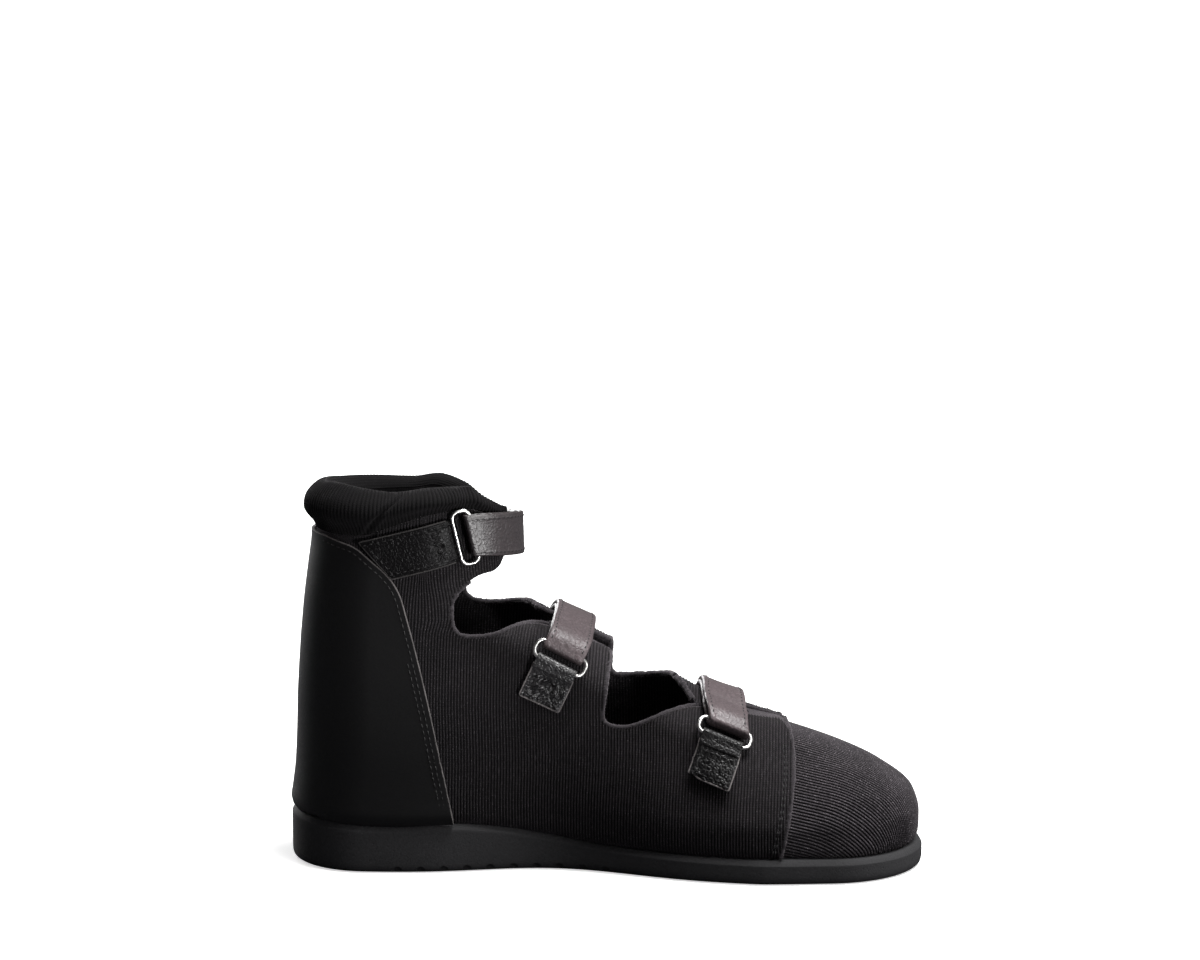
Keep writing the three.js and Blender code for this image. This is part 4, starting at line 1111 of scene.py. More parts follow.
def hem_runs(corners, side, lift):
    """Stretches of a side-view edge that lie on one side of the skin."""
    x, z = outline(corners, closed=False, step=HEM_STEP).T
    lean = np.minimum(ridge(np.maximum(x, 103)) + lift, TOP + 20)
    seam = np.where(x < 104, seam_height(side, np.clip(x, 10, 102)) - 1.2, 400)
    shown = (z > sole_top(np.clip(x, 0, 298)) + 1) & (z < lean - .35) & (z < seam)
    shown &= x < front_at(np.clip(z - lift * .5, 6, 190)) + lift * .8
    breaks = np.flatnonzero(np.diff(shown.astype(int))) + 1
    for part in np.split(np.arange(len(x)), breaks):
        if shown[part[0]] and len(part) > 8:
            yield on_side(x[part], z[part], side, lift)


UP, FORWARD = (0.0, 0, 1), (1.0, 0, 0)


def raised(start, way, lift):
    """Points of the skin in one direction, with their normals."""
    path = cast_out(start, np.broadcast_to(way, start.shape))
    normals = normal_at(path)
    return path + normals * lift, normals


def to_ridge(path, normals, side, lift):
    """Carries a hem that climbs to the ridge on up to it."""
    for _ in range(2):
        last, earlier = path[-1], path[-8]
        climbs = last[2] - earlier[2] > abs(last[0] - earlier[0])
        if climbs and 58 < last[2] < 125 and abs(last[1]) > 2:
            foot = last - normals[-1] * lift
            t = np.linspace(0, 1, 2 + round(abs(foot[1]) / HEM_STEP))[1:, None]
            start = np.column_stack([foot[0] - t, foot[1] + (side * 1.2 - foot[1]) * t, 50 + 0 * t])
            more = raised(start, UP, lift)
            path, normals = np.concatenate([path, more[0]]), np.concatenate([normals, more[1]])
        path, normals = path[::-1], normals[::-1]
    x, y, z = path.T
    back, front, low, high = INSTEP_CUT
    bare = (back < x) & (x < front) & (low < z) & (z < high) & (np.abs(y) < INSTEP_GAP[side] - .2)
    return path[~bare], normals[~bare]


def tab_hems(side, lift):
    """Hems along the ridge, at the ankle tabs' ends and at the backs of the outer tabs."""
    for low, high, off in TAB_RIDGES[side]:
        x = np.arange(low, high, HEM_STEP)
        yield raised(np.column_stack([x, 0 * x + side * off, 0 * x + 50]), UP, lift)
    z = np.arange(ANKLE_END["low"], ANKLE_END["high"], HEM_STEP)
    yield raised(np.column_stack([0 * z + SHAFT_X, 0 * z + side * ANKLE_END["y"], z]), FORWARD, lift)
    if side == OUTER:
        t = np.linspace(0, 1, 28)[:, None]
        plan = INSTEP_BACK[0] + (np.array(INSTEP_BACK[1]) - INSTEP_BACK[0]) * t
        yield raised(np.column_stack([plan, 0 * t + 50]), UP, lift)
        turn = math.radians(TAB_BACK["turn"])
        t = np.arange(-2.5, 18, HEM_STEP)
        x = TAB_BACK["x"] + math.sin(turn) * t
        yield raised(np.column_stack([x, -math.cos(turn) * t, 0 * t + 50]), UP, lift)


def uneven(count, seed, spread):
    """Slow swing about 0 along a line, the same each time."""
    swing = np.random.default_rng(seed).normal(size=count + 8)
    return spread * np.convolve(swing, np.hanning(7), "same")[4:-4] / 1.7


def stray_fibres(gather, path, normals, seed, count, length):
    """Fine fibres that stand out of an overlocked edge."""
    rng = np.random.default_rng(seed)
    along = unit(np.gradient(path, axis=0))
    across = np.cross(along, normals)
    pick = rng.integers(1, len(path) - 1, count)
    turn = rng.uniform(-1.9, 1.9, count)[:, None]
    out = normals[pick] * np.cos(turn) + across[pick] * np.sin(turn)
    bend = along[pick] * rng.uniform(-1, 1, (count, 1))
    lengths = length * rng.uniform(.75, 1.3, (count, 1))
    side = unit(np.cross(out, along[pick]))
    foot = path[pick] + out * .9
    middle = foot + (out + bend * .4) * lengths * .55
    tip = foot + (out + bend) * lengths
    spin = [side * math.cos(a) + along[pick] * math.sin(a) for a in (0, 2.1, 4.2)]
    rings = np.stack([[base + s * r for s in spin] for base, r in ((foot, .06), (middle, .048), (tip, .015))])
    for k in range(count):
        gather.add(*loft(rings[:, :, k]))


def relaxed(path, rounds=2):
    for _ in range(rounds):
        path[1:-1] = (path[:-2] + 2 * path[1:-1] + path[2:]) / 4
    return path


class SHOE_OT_quarters(bpy.types.Operator):
    """Knitted side walls with scalloped openings, tabs and overlocked edges"""
    bl_idname = "shoe.quarters"
    bl_label = "Quarters"

    def execute(self, context):
        knit, thread = context.scene.shoe_knit, context.scene.shoe_thread
        # .56 is the side walls' painted light level: the same yarn painted darker than the vamp, as painted
        # shade.
        wall, hem = knit_finish(knit, "quarter_knit", .56), hem_finish(knit)
        sewn = thread_finish(thread)
        lift = QUARTER_SEAT + mm(knit.thickness) / 2
        for side, name, corners in ((INNER, "medial", INNER_EDGE), (OUTER, "lateral", OUTER_EDGE)):
            piece = quarter_wall(side, knit).object(f"knit_quarter_{name}", [wall, hem])
            if side == INNER:
                carve(piece, side_block(behind(corners), -200, -MIDDLE_GAP, hem), "INTERSECT")
            else:
                carve(piece, side_block(behind(corners), -200, 200, hem), "INTERSECT")
                near = [(x, z + TAB_GAP, ease) for x, z, ease in behind(INNER_EDGE)]
                for cut in (near, *(side_box(*row) for row in FAR_CUTS)):
                    carve(piece, side_block(cut, -200, MIDDLE_GAP, hem), "DIFFERENCE")
                carve(piece, turned_box(*TAB_BACK.values(), hem), "DIFFERENCE")
                carve(piece, plan_block(*INSTEP_BACK_CUT.values(), hem), "DIFFERENCE")
            for row, gap in ((ANKLE_CUT, ANKLE_END["y"]), (INSTEP_CUT, INSTEP_GAP[side])):
                carve(piece, side_block(side_box(*row), -gap, gap, hem), "DIFFERENCE")
            carve(piece, under_sole(hem), "DIFFERENCE")
            carve(piece, over_seam(side, hem), "DIFFERENCE")
            edges = Gather()
            runs = [to_ridge(*run, side, lift) for run in hem_runs(corners, side, lift)]
            runs += tab_hems(side, lift)
            for seed, (path, normals) in enumerate(runs):
                path = relaxed(path) + normals * uneven(len(path), seed, .08)[:, None]
                thick = mm(knit.hem) * HEM_SHARE[side] * (1 + uneven(len(path), 40 + seed, .1))
                edges.add(*tube(path, normals, thick, 10, 1.3, .13))
                stray_fibres(edges, path, normals, 80 + seed, len(path) * 2, .55)
            for inset in (3.0, 4.1):
                front = outline([(x - inset, z, ease) for x, z, ease in corners[:3]], closed=False, step=.8)
                front = front[(front[:, 1] > sole_top(front[:, 0]) + 2) & (front[:, 1] < 62)]
                path, normals = on_side(front[:, 0], front[:, 1], side, QUARTER_SEAT + mm(knit.thickness))
                stitch_row(edges, relaxed(path), normals, thread, 1, -.3)
            joined(piece, edges.object("trim", [hem, sewn]))
            seated(piece, f"quarter_{name}", 60)
        return {"FINISHED"}


def turned_box(x, z, turn, finish):
    """Upright cutter behind the outer toe tab, turned in plan."""
    turn = math.radians(turn)
    corners = np.array([(-34, -34), (0, -34), (0, 2), (-34, 2)], float)
    spin = np.array([[math.cos(turn), -math.sin(turn)], [math.sin(turn), math.cos(turn)]])
    plan = corners @ spin.T + (x, 0)
    return plan_block(plan, z - 26, z + 14, finish)


def plan_block(plan, low, high, finish):
    """Upright cutter with a plan outline."""
    gather = Gather()
    gather.add(*loft(np.array([np.column_stack([plan, np.full(len(plan), h)]) for h in (low, high)])))
    return gather.object("cutter", [finish])


class SHOE_OT_vamp(bpy.types.Operator):
    """Knitted toe piece with ribs that slant down to the toe"""
    bl_idname = "shoe.vamp"
    bl_label = "Vamp"

    def execute(self, context):
        knit = context.scene.shoe_knit
        pitch, depth = mm(knit.rib_pitch) * 1.08, mm(knit.rib_depth) * 1.25
        lean, climb = math.sin(math.radians(VAMP_LEAN)), math.cos(math.radians(VAMP_LEAN))
        first, last = 196 * climb - 78 * lean, 296.3 * climb - 7 * lean
        planes = last - (last - first) * np.linspace(1, 0, 66) ** 1.4
        # 1.7 is the vamp's painted light level: the same yarn painted lighter where it faces the overhead
        # lamp, as painted light.
        wall = knit_finish(knit, "vamp_knit", 1.7)
        half = 118.0
        across = np.arange(-math.floor(half / pitch) * pitch, half, pitch / 4)
        rib = ribs(len(across))
        grid = np.empty((len(across), len(planes), 3))
        for j, plane in enumerate(planes):
            px, pz = plane * climb, -plane * lean
            low = (5 - pz) / climb
            near, far = low, low + 120
            for _ in range(45):
                middle = (near + far) / 2
                within = px + lean * middle < front_at(pz + climb * middle)
                near, far = (middle, far) if within else (near, middle)
            lengths = near - (near - low) * np.linspace(0, 1, 240) ** 2
            x, z = px + lean * lengths, pz + climb * lengths
            for side, chosen in ((INNER, across < 0), (OUTER, across >= 0)):
                points = np.stack([x, half_width(x, z, side), z], axis=1)
                points[0, 1] = eased(LEVELS, "z", "nose_y", z[0])
                run = run_of(points)
                at = np.abs(across[chosen])
                grid[chosen, j] = along_line(at, run, points)
                grid[chosen, j, 2] -= np.maximum(at - run[-1], 0) * .02
        normals = np.cross(np.gradient(grid, axis=0), np.gradient(grid, axis=1))
        flat = np.linalg.norm(normals, axis=-1) < 1e-4
        normals[flat] = 0
        normals = unit(normals)
        if normals[len(across) // 2, 10, 2] < 0:
            normals = -normals
        normals[flat] = (0, 0, -1)
        grid = tucked(grid, normals)
        flat_top = .35 + .65 * smooth(6, 30, np.abs(across))
        outer = grid + normals * ((depth * flat_top * rib)[:, None] - .02)[..., None]
        inner = grid - normals * mm(knit.thickness)
        course = np.array([run_of(line) for line in grid])
        gather = Gather()
        gather.add(*slab(outer, inner), 0, knit_marks(across / pitch, course))
        piece = gather.object("knit_vamp", [wall])
        carve(piece, side_block(before(VAMP_THROAT), -200, 200, wall), "INTERSECT")
        carve(piece, under_sole(wall), "DIFFERENCE")
        seated(piece, "vamp", 60)
        return {"FINISHED"}


class SHOE_OT_counter(bpy.types.Operator):
    """Smooth heel leather with a pale cut edge and rows of stitches"""
    bl_idname = "shoe.counter"
    bl_label = "Heel Counter"

    def execute(self, context):
        leather, thread = context.scene.shoe_leather, context.scene.shoe_thread
        thick = mm(leather.counter)
        half = np.concatenate([np.linspace(0, HEEL_RUN, 40)[:-1], np.linspace(HEEL_RUN, HEEL_RUN + 52, 44)])
        sides = []
        for side in (OUTER, INNER):
            grid, _ = quarter_grid(side, half, 70, 0)
            sides.append((grid, grid_normals(grid, side)))
        grid = np.concatenate([sides[0][0][:0:-1], sides[1][0]])
        normals = np.concatenate([sides[0][1][:0:-1], sides[1][1]])
        normals[len(half) - 1] = unit(normals[len(half) - 2] + normals[len(half)])
        grid = flared(tucked(grid, normals), normals)
        gather = Gather()
        gather.add(*slab(grid + normals * (COUNTER_SEAT + thick), grid + normals * COUNTER_SEAT))
        skin, raw = counter_finish(leather), raw_finish(leather, "cut_heel_edge", .6)
        piece = gather.object("counter_patch", [skin, raw])
        carve(piece, side_block(behind(COUNTER_EDGE), -200, 200, raw), "INTERSECT")
        carve(piece, under_sole(skin), "DIFFERENCE")
        trim = Gather()
        top = COUNTER_SEAT + thick
        for side in (INNER, OUTER):
            edge = outline(COUNTER_EDGE[:-1], closed=False, step=1.0)
            edge = edge[edge[:, 1] > sole_top(edge[:, 0]) + 1]
            path, normal = on_side(edge[:, 0], edge[:, 1], side, top - .35)
            trim.add(*tube(relaxed(path), normal, .42, 8), 1)
            for inset in (2.4, 4.6):
                way = np.gradient(edge, axis=0)
                inward = unit(np.stack([-way[:, 1], way[:, 0]], axis=1))
                line = edge + inward * inset
                keep = line[:, 1] > sole_top(line[:, 0]) + 2
                if inset > 3:
                    keep &= line[:, 1] < 100
                path, normal = on_side(line[keep, 0], line[keep, 1], side, top)
                stitch_row(trim, path, normal, thread, 0)
        joined(piece, trim.object("trim", [thread_finish(thread), raw]))
        seated(piece, "heel_counter", 50)
        return {"FINISHED"}


def smooth_loop(points, count):
    """Closed smooth curve through points."""
    size = len(points)
    at = np.arange(count) * size / count
    k = at.astype(int)
    t = (at - k)[:, None]
    p = [points[(k + d) % size] for d in (-1, 0, 1, 2)]
    return .5 * (2 * p[1] + (p[2] - p[0]) * t + (2 * p[0] - 5 * p[1] + 4 * p[2] - p[3]) * t ** 2
                 + (3 * p[1] - p[0] - 3 * p[2] + p[3]) * t ** 3)


def collar_line(pitch):
    """Plan line of the collar, from its outer end round the heel to its inner end, four points to a rib."""
    plan = level(np.array([COLLAR_LEVEL], float))
    halves = {}
    for side in (INNER, OUTER):
        turn = np.linspace(np.pi, 0, 900)
        normal = np.stack([np.cos(turn), side * np.sin(turn)], axis=1)
        spread = [x * np.cos(turn) + y * side * np.sin(turn) + r for x, y, r in circles(plan)]
        best = np.argmax(spread, axis=0)
        centres = np.array([(x[0], y[0]) for x, y, r in circles(plan)])[best]
        radius = np.array([r[0] for x, y, r in circles(plan)])[best]
        line = centres + normal * radius[:, None]
        run = run_of(line)
        at = np.arange(0, run[-1] * COLLAR_END[side], pitch / 4)
        halves[side] = (along_line(at, run, line), at, at / run[-1])
    outer, inner = halves[OUTER], halves[INNER]
    line, run, share = (np.concatenate([o[:0:-1], i]) for o, i in zip(outer, inner))
    on_inner = np.arange(len(line)) >= len(outer[1]) - 1
    return line, np.where(on_inner, run, -run), share, on_inner


class SHOE_OT_collar(bpy.types.Operator):
    """Padded knitted roll round the top, open over the instep"""
    bl_idname = "shoe.collar"
    bl_label = "Collar"

    def execute(self, context):
        knit = context.scene.shoe_knit
        pitch, depth = mm(knit.rib_pitch) * 1.12, mm(knit.rib_depth)
        line, run, shares, inner = collar_line(pitch)
        along = unit(np.gradient(line, axis=0))
        normal = np.stack([along[:, 1], -along[:, 0]], axis=1)
        if normal[0, 1] < 0:
            normal = -normal
        for _ in range(10):
            normal[1:-1] = unit(normal[:-2] + normal[1:-1] + normal[2:])
        seam, crest = (
            COLLAR_BACK[name] + smooth(0, .2, shares) * (
                np.where(inner, eased(COLLAR_INNER, "x", name, line[:, 0]),
                         eased(COLLAR_OUTER, "x", name, line[:, 0])) - COLLAR_BACK[name])
            for name in ("seam", "crest"))
        ends = np.where(inner, COLLAR_END[INNER], COLLAR_END[OUTER])
        full = smooth(0, COLLAR_TAPER, ends - shares)
        section = smooth_loop(np.stack([COLLAR_SECTION["rise"], COLLAR_SECTION["out"]], axis=1), 84)
        rise, out = section.T
        quarter = QUARTER_SEAT + mm(knit.thickness)
        by = np.where(out > 0, quarter + (out - quarter) * full[:, None],
                      out * (COLLAR_THIN + (1 - COLLAR_THIN) * full[:, None]))
        height = seam[:, None] + (crest - seam)[:, None] * rise
        centre = line[:, None] + normal[:, None] * by[..., None]
        rings = np.concatenate([centre, height[..., None]], axis=-1)
        face = unit(np.cross(np.gradient(rings, axis=0), np.roll(rings, -1, 1) - np.roll(rings, 1, 1)))
        if np.einsum("ij,ij->", face[:, 18, :2], normal) < 0:
            face = -face
        girth = run_of(rings[len(line) // 2])
        outward = smooth(-1.5, 1.5, out)
        upright = ribs(len(line))
        ring_ribs = -.5 + .5 * np.cos(2 * np.pi * girth / ROLL_RIB)
        relief = depth * (upright[:, None] * outward + (ring_ribs - .1) * (1 - outward) * .8)
        relief = relief + collar_folds(run, rise, out)
        rings = rings + face * (relief - .05)[..., None]
        across = np.where(out > -1, run[:, None] / pitch, girth / ROLL_RIB)
        course = np.where(out > -1, girth, run[:, None]) / LOOP_PITCH
        gather = Gather()
        gather.add(*loft(rings), 0, np.stack([across, course, 0 * course], axis=-1))
        # .07 is the collar's painted light level: the same yarn painted much darker, as painted shade.
        piece = gather.object("padded_collar", [knit_finish(knit, "collar_knit", .07, .03)])
        seated(piece, "collar", 70)
        return {"FINISHED"}


COLLAR_FOLDS = table("run lean width depth low high", (50, 17, 1.5, 1.2, .05, .78), (86, 5, 3.0, .9, .35, 1),
                     (-48, 4, 3.0, .8, .1, .9), (20, 3, 3.5, .5, .2, .8))


def collar_folds(run, rise, out):
    """Shallow creases across the roll."""
    relief = np.zeros((len(run), len(rise)))
    for at, lean, width, depth, low, high in zip(*COLLAR_FOLDS.values()):
        off = (run[:, None] - at - lean * (rise - .5)) / width
        window = smooth(low - .15, low + .1, rise) * (1 - smooth(high - .1, high + .15, rise))
        crease = np.exp(-off ** 2) - .45 * np.exp(-((np.abs(off) - 1.9) ** 2))
        relief -= depth * crease * window * smooth(0, 3, out)
    return relief


# Straps, their ring tabs and rings
def leaning(degrees):
    return np.array([math.cos(math.radians(degrees)), 0, math.sin(math.radians(degrees))])


def seat_at(place, height):
    """Points of the inner side that show at side-view places once they are raised by a height."""
    way = np.broadcast_to([0.0, -1, 0], place.shape)
    point = cast_out(place, way)
    for _ in range(4):
        lean = normal_at(point) * height * (1, 0, 1)
        point = cast_out(place - lean, way)
    return point


class RingPlace:
    """Flat frame of a ring, from its fixed bar: ahead to the strap, bar across it, and out."""

    def __init__(self, row, spacing, width):
        self.run = leaning(row["ring"])
        self.across = np.array([-self.run[2], 0, self.run[0]])
        self.start = np.array([row["x"], 0, row["z"]], float)
        half = spacing / 2
        spots = np.array([(half, 0), (half, -width / 2), (half, width / 2), (0, 0), (spacing, 0)])
        seats = seat_at(self.start + spots[:, :1] * self.run + spots[:, 1:] * self.across, CHAPE_BAR)
        middle, low, high, first, last = seats
        self.bar = unit(high - low)
        ahead = last - first
        self.ahead = unit(ahead - self.bar * ahead.dot(self.bar))
        self.out = np.cross(self.ahead, self.bar)
        lift = max(0, (low - middle).dot(self.out), (high - middle).dot(self.out))
        self.origin = middle + self.out * lift - self.ahead * half

    def place(self, s, w, o):
        s, w, o = (np.asarray(v, float)[..., None] for v in (s, w, o))
        return self.origin + self.ahead * s + self.bar * w + self.out * o


def lattice(values, s_axis, w_axis, s, w):
    """Values of a grid between its points."""
    i = np.clip(np.searchsorted(s_axis, s) - 1, 0, len(s_axis) - 2)
    j = np.clip(np.searchsorted(w_axis, w) - 1, 0, len(w_axis) - 2)
    t = ((s - s_axis[i]) / (s_axis[i + 1] - s_axis[i]))[..., None]
    u = ((w - w_axis[j]) / (w_axis[j + 1] - w_axis[j]))[..., None]
    near = values[i, j] * (1 - u) + values[i, j + 1] * u
    far = values[i + 1, j] * (1 - u) + values[i + 1, j + 1] * u
    return near * (1 - t) + far * t


def strip_section(width, rounding=.8, top=17, bottom=9):
    """Cross-section of a leather strip: place across it, and from -1 below to 1 above."""
    flat = width / 2 - rounding
    arc = np.linspace(90, -90, 9)[1:-1]
    upper = [(w, 1) for w in np.linspace(-flat, flat, top)]
    right = [(flat + rounding * math.cos(math.radians(a)), math.sin(math.radians(a))) for a in arc]
    lower = [(w, -1) for w in np.linspace(flat, -flat, bottom)]
    left = [(-flat - rounding * math.cos(math.radians(a)), math.sin(math.radians(a))) for a in arc[::-1]]
    return np.array(upper + right + lower + left)


def strip(stations, section, place, relief=None, ends=.7):
    """Strip of leather: each station has a front and a back place, s and o."""
    front, back = stations[:, :2], stations[:, 2:]
    run = run_of((front + back) / 2)
    near = np.minimum(run, run[-1] - run)
    thin = np.sqrt(np.clip(1 - (1 - np.clip(near / ends, 0, 1)) ** 2, .04, 1))
    w, h = section.T
    share = (h * thin[:, None] + 1) / 2
    at = back[:, None] + (front - back)[:, None] * share[..., None]
    s, o = at[..., 0], at[..., 1]
    wide = np.broadcast_to(w, s.shape)
    rings = place(s, wide, o)
    if relief is not None:
        lift = relief(run[:, None] + 0 * wide, wide) * np.clip(h, 0, 1)
        ahead = np.gradient(rings, axis=0)
        across = np.roll(rings, -1, 1) - np.roll(rings, 1, 1)
        face = unit(np.cross(ahead, across))
        if volume(rings.reshape(-1, 3), [ring_faces(rings)]) < 0:
            face = -face
        rings = rings + face * lift[..., None]
    return rings


def arc_at(height, radius, degrees):
    """Arc round a ring's bar, as places along the strip and heights."""
    turn = np.radians(degrees)
    return np.stack([radius * np.cos(turn), height + radius * np.sin(turn)], axis=1)


class StrapRoute:
    """Way of a strap from its ring round the foot."""

    def __init__(self, row, ring, spacing, width):
        self.ring, self.spacing = ring, spacing
        run = leaning(row["strap"])
        roll = math.radians(-row["roll"])
        flat = np.array([-run[2], 0, run[0]])
        self.width = flat * math.cos(roll) + np.cross(run, flat) * math.sin(roll)
        outward = np.cross(self.width, run)
        bar = ring.place(spacing, 0, 0)
        hub = bar * (1, 0, 1) - run * row["hub"]
        hub = hub + self.width * (bar - hub).dot(self.width)
        start = math.atan2((bar - hub).dot(outward), (bar - hub).dot(run))
        turn = np.arange(start - math.radians(STRAP_LEAD), math.radians(170), math.radians(STRAP_STEP))
        across = np.linspace(-width / 2 - .5, width / 2 + .5, 9)
        way = np.cos(turn)[:, None] * run + np.sin(turn)[:, None] * outward
        begin = hub + across[:, None] * self.width
        size = (len(turn), len(across), 3)
        starts = np.broadcast_to(begin[None], size).reshape(-1, 3)
        ways = np.broadcast_to(way[:, None], size).reshape(-1, 3)
        points = cast_out(starts, ways)
        self.points, self.normals = points.reshape(size), normal_at(points).reshape(size)
        self.s = run_of(self.points[:, len(across) // 2])
        self.s -= self.s[STRAP_LEAD // STRAP_STEP]
        self.w = across
        self.slant = math.radians(row["strap"] - row["ring"])

    def place(self, s, w, o):
        share = smooth(1, 13, s)[..., None]
        rigid = self.ring.place(s * math.cos(self.slant) + self.spacing, w + s * math.sin(self.slant), o)
        at = s + w * math.tan(self.slant) * (1 - smooth(12, 60, s))
        at = np.clip(at, self.s[0], self.s[-1])
        point = lattice(self.points, self.s, self.w, at, w)
        normal = unit(lattice(self.normals, self.s, self.w, at, w))
        return rigid + (point + normal * o[..., None] - rigid) * share


def strap_stations(row, leather, wire):
    """Front and back of a strap from its sewn end, round the ring's bar and back to its free end."""
    thick = mm(leather.strap)
    inside = wire / 2 + BAR_SEAT
    top = STRAP_SEAT + thick
    near = np.concatenate([np.linspace(.6, 16, 50), np.arange(17, 200, 1.2)])
    base = near[near < row["base"]][::-1]
    free = near[near < row["free"]]
    turn = np.linspace(270, 90, 37)
    cos, sin = np.abs(np.cos(np.radians(turn))), np.abs(np.sin(np.radians(turn)))
    square = np.where(turn < 180, (cos ** 4.5 + sin ** 4.5) ** (-1 / 4.5), 1)
    lift = STRAP_BAR + inside + (top + BAR_SEAT - STRAP_BAR - inside) * smooth(3, 14, free)
    over, under = arc_at(STRAP_BAR, (inside + thick) * square, turn), arc_at(STRAP_BAR, inside, turn)
    return np.concatenate([
        np.stack([base, 0 * base + STRAP_SEAT, base, 0 * base + top], axis=1),
        np.concatenate([over, under], axis=1),
        np.stack([free, lift + thick, free, lift], axis=1),
    ]), len(base) + len(turn)


class SHOE_OT_straps(bpy.types.Operator):
    """Leather straps that turn back through the rings, with stitched edges"""
    bl_idname = "shoe.straps"
    bl_label = "Straps"

    def execute(self, context):
        scene = context.scene
        leather, thread, ring = scene.shoe_leather, scene.shoe_thread, scene.shoe_ring
        width, spacing, wire = mm(leather.width), mm(ring.spacing), mm(ring.wire)
        sewn, hook = thread_finish(thread), hook_finish()
        section = strip_section(width, .8, 45)
        for name, row in CLOSURES.items():
            route = StrapRoute(row, RingPlace(row, spacing, width), spacing, width)
            stations, start = strap_stations(row, leather, wire)

            def laid(s, w, o, row=row, route=route):
                slant = row["tip"] * (w / width) * smooth(row["free"] - 14, row["free"], s)
                return route.place(s + slant, w, o)

            bend = run_of((stations[:, :2] + stations[:, 2:]) / 2)[start]
            gather = Gather()
            gather.add(*loft(strip(stations, section, laid, strap_relief(name, width, bend))))
            tape = np.linspace(row["free"] - 24, row["free"] + 1.6, 40)
            seat = STRAP_SEAT + mm(leather.strap) + BAR_SEAT
            lines = np.stack([tape, 0 * tape + seat - .01, tape, 0 * tape + seat - BAR_SEAT + .02], axis=1)
            gather.add(*loft(strip(lines, strip_section(width - 3.4, .2), laid, None, .2)), 2)
            for edge in (-1, 1):
                w = edge * (width / 2 - 2.1)
                lines = stations[start + 1 : -2]
                s = lines[:, 0]
                line = laid(s, 0 * s + w, lines[:, 1])
                normal = unit(line - laid(s, 0 * s + w, lines[:, 3]))
                stitch_row(gather, line, normal, thread, 1, -.12)
            piece = gather.object(f"leather_strap_{name}", [strap_finish(leather, name), sewn, hook])
            seated(piece, f"strap_{name}", 60)
        return {"FINISHED"}


def strap_relief(name, width, bend):
    """Stitched-in edges and the creases of the bend."""
    rng = np.random.default_rng({"ankle": 3, "instep": 5, "forefoot": 8}[name])
    waves = [(rng.uniform(.5, 1.3), rng.uniform(-.35, .35), rng.uniform(0, 6.3), rng.uniform(.5, 1))
             for _ in range(5)]
    creases = [(bend + rng.uniform(-1, 3.5), -9.5 + .62 * k + rng.uniform(-.15, .15), rng.uniform(.75, 1.0),
                rng.uniform(.17, .24), rng.uniform(1.4, 2.6), rng.uniform(.08, .17))
               for k in range({"ankle": 0, "instep": 32, "forefoot": 10}[name])]

    def relief(run, w):
        edge = np.abs(np.abs(w) - (width / 2 - 2.1))
        total = -.16 * np.exp(-(edge / .55) ** 2)
        total = total + .01 * sum(d * np.sin(a * run + b * w + c) for a, b, c, d in waves)
        for at, side, turn, wide, long, deep in creases:
            a = (run - at) * math.cos(turn) - (w - side) * math.sin(turn)
            b = (w - side) * math.cos(turn) + (run - at) * math.sin(turn)
            total = total - deep * np.exp(-(a / wide) ** 2 - (b / long) ** 2)
        return total
    return relief


def chape_stations(row, leather, wire):
    """Front and back of a ring tab from its sewn end to its loop round the ring's bar."""
    inside = wire / 2 + BAR_SEAT
    loop = mm(leather.loop)
    top = CHAPE_SEAT + mm(leather.chape)
    flat = -np.linspace(row["chape"], 3, 3 + round(row["chape"] / .3))
    turn = np.linspace(-90, 70 if row["open"] else 95, 25)
    lap = np.linspace(.4, 4.6, 0 if row["open"] else 16)
    down = smooth(.2, 3.2, lap)
    under = CHAPE_BAR + inside + (top + .1 - CHAPE_BAR - inside) * down
    return np.concatenate([
        np.stack([flat, 0 * flat + top, flat, 0 * flat + CHAPE_SEAT], axis=1),
        np.array([(-inside, CHAPE_BAR - inside, -inside, CHAPE_SEAT)]),
        np.concatenate([arc_at(CHAPE_BAR, inside, turn), arc_at(CHAPE_BAR, inside + loop, turn)], axis=1),
        np.stack([-lap, under, -lap, under + loop * (1 - .45 * down)], axis=1),
    ]), len(flat)


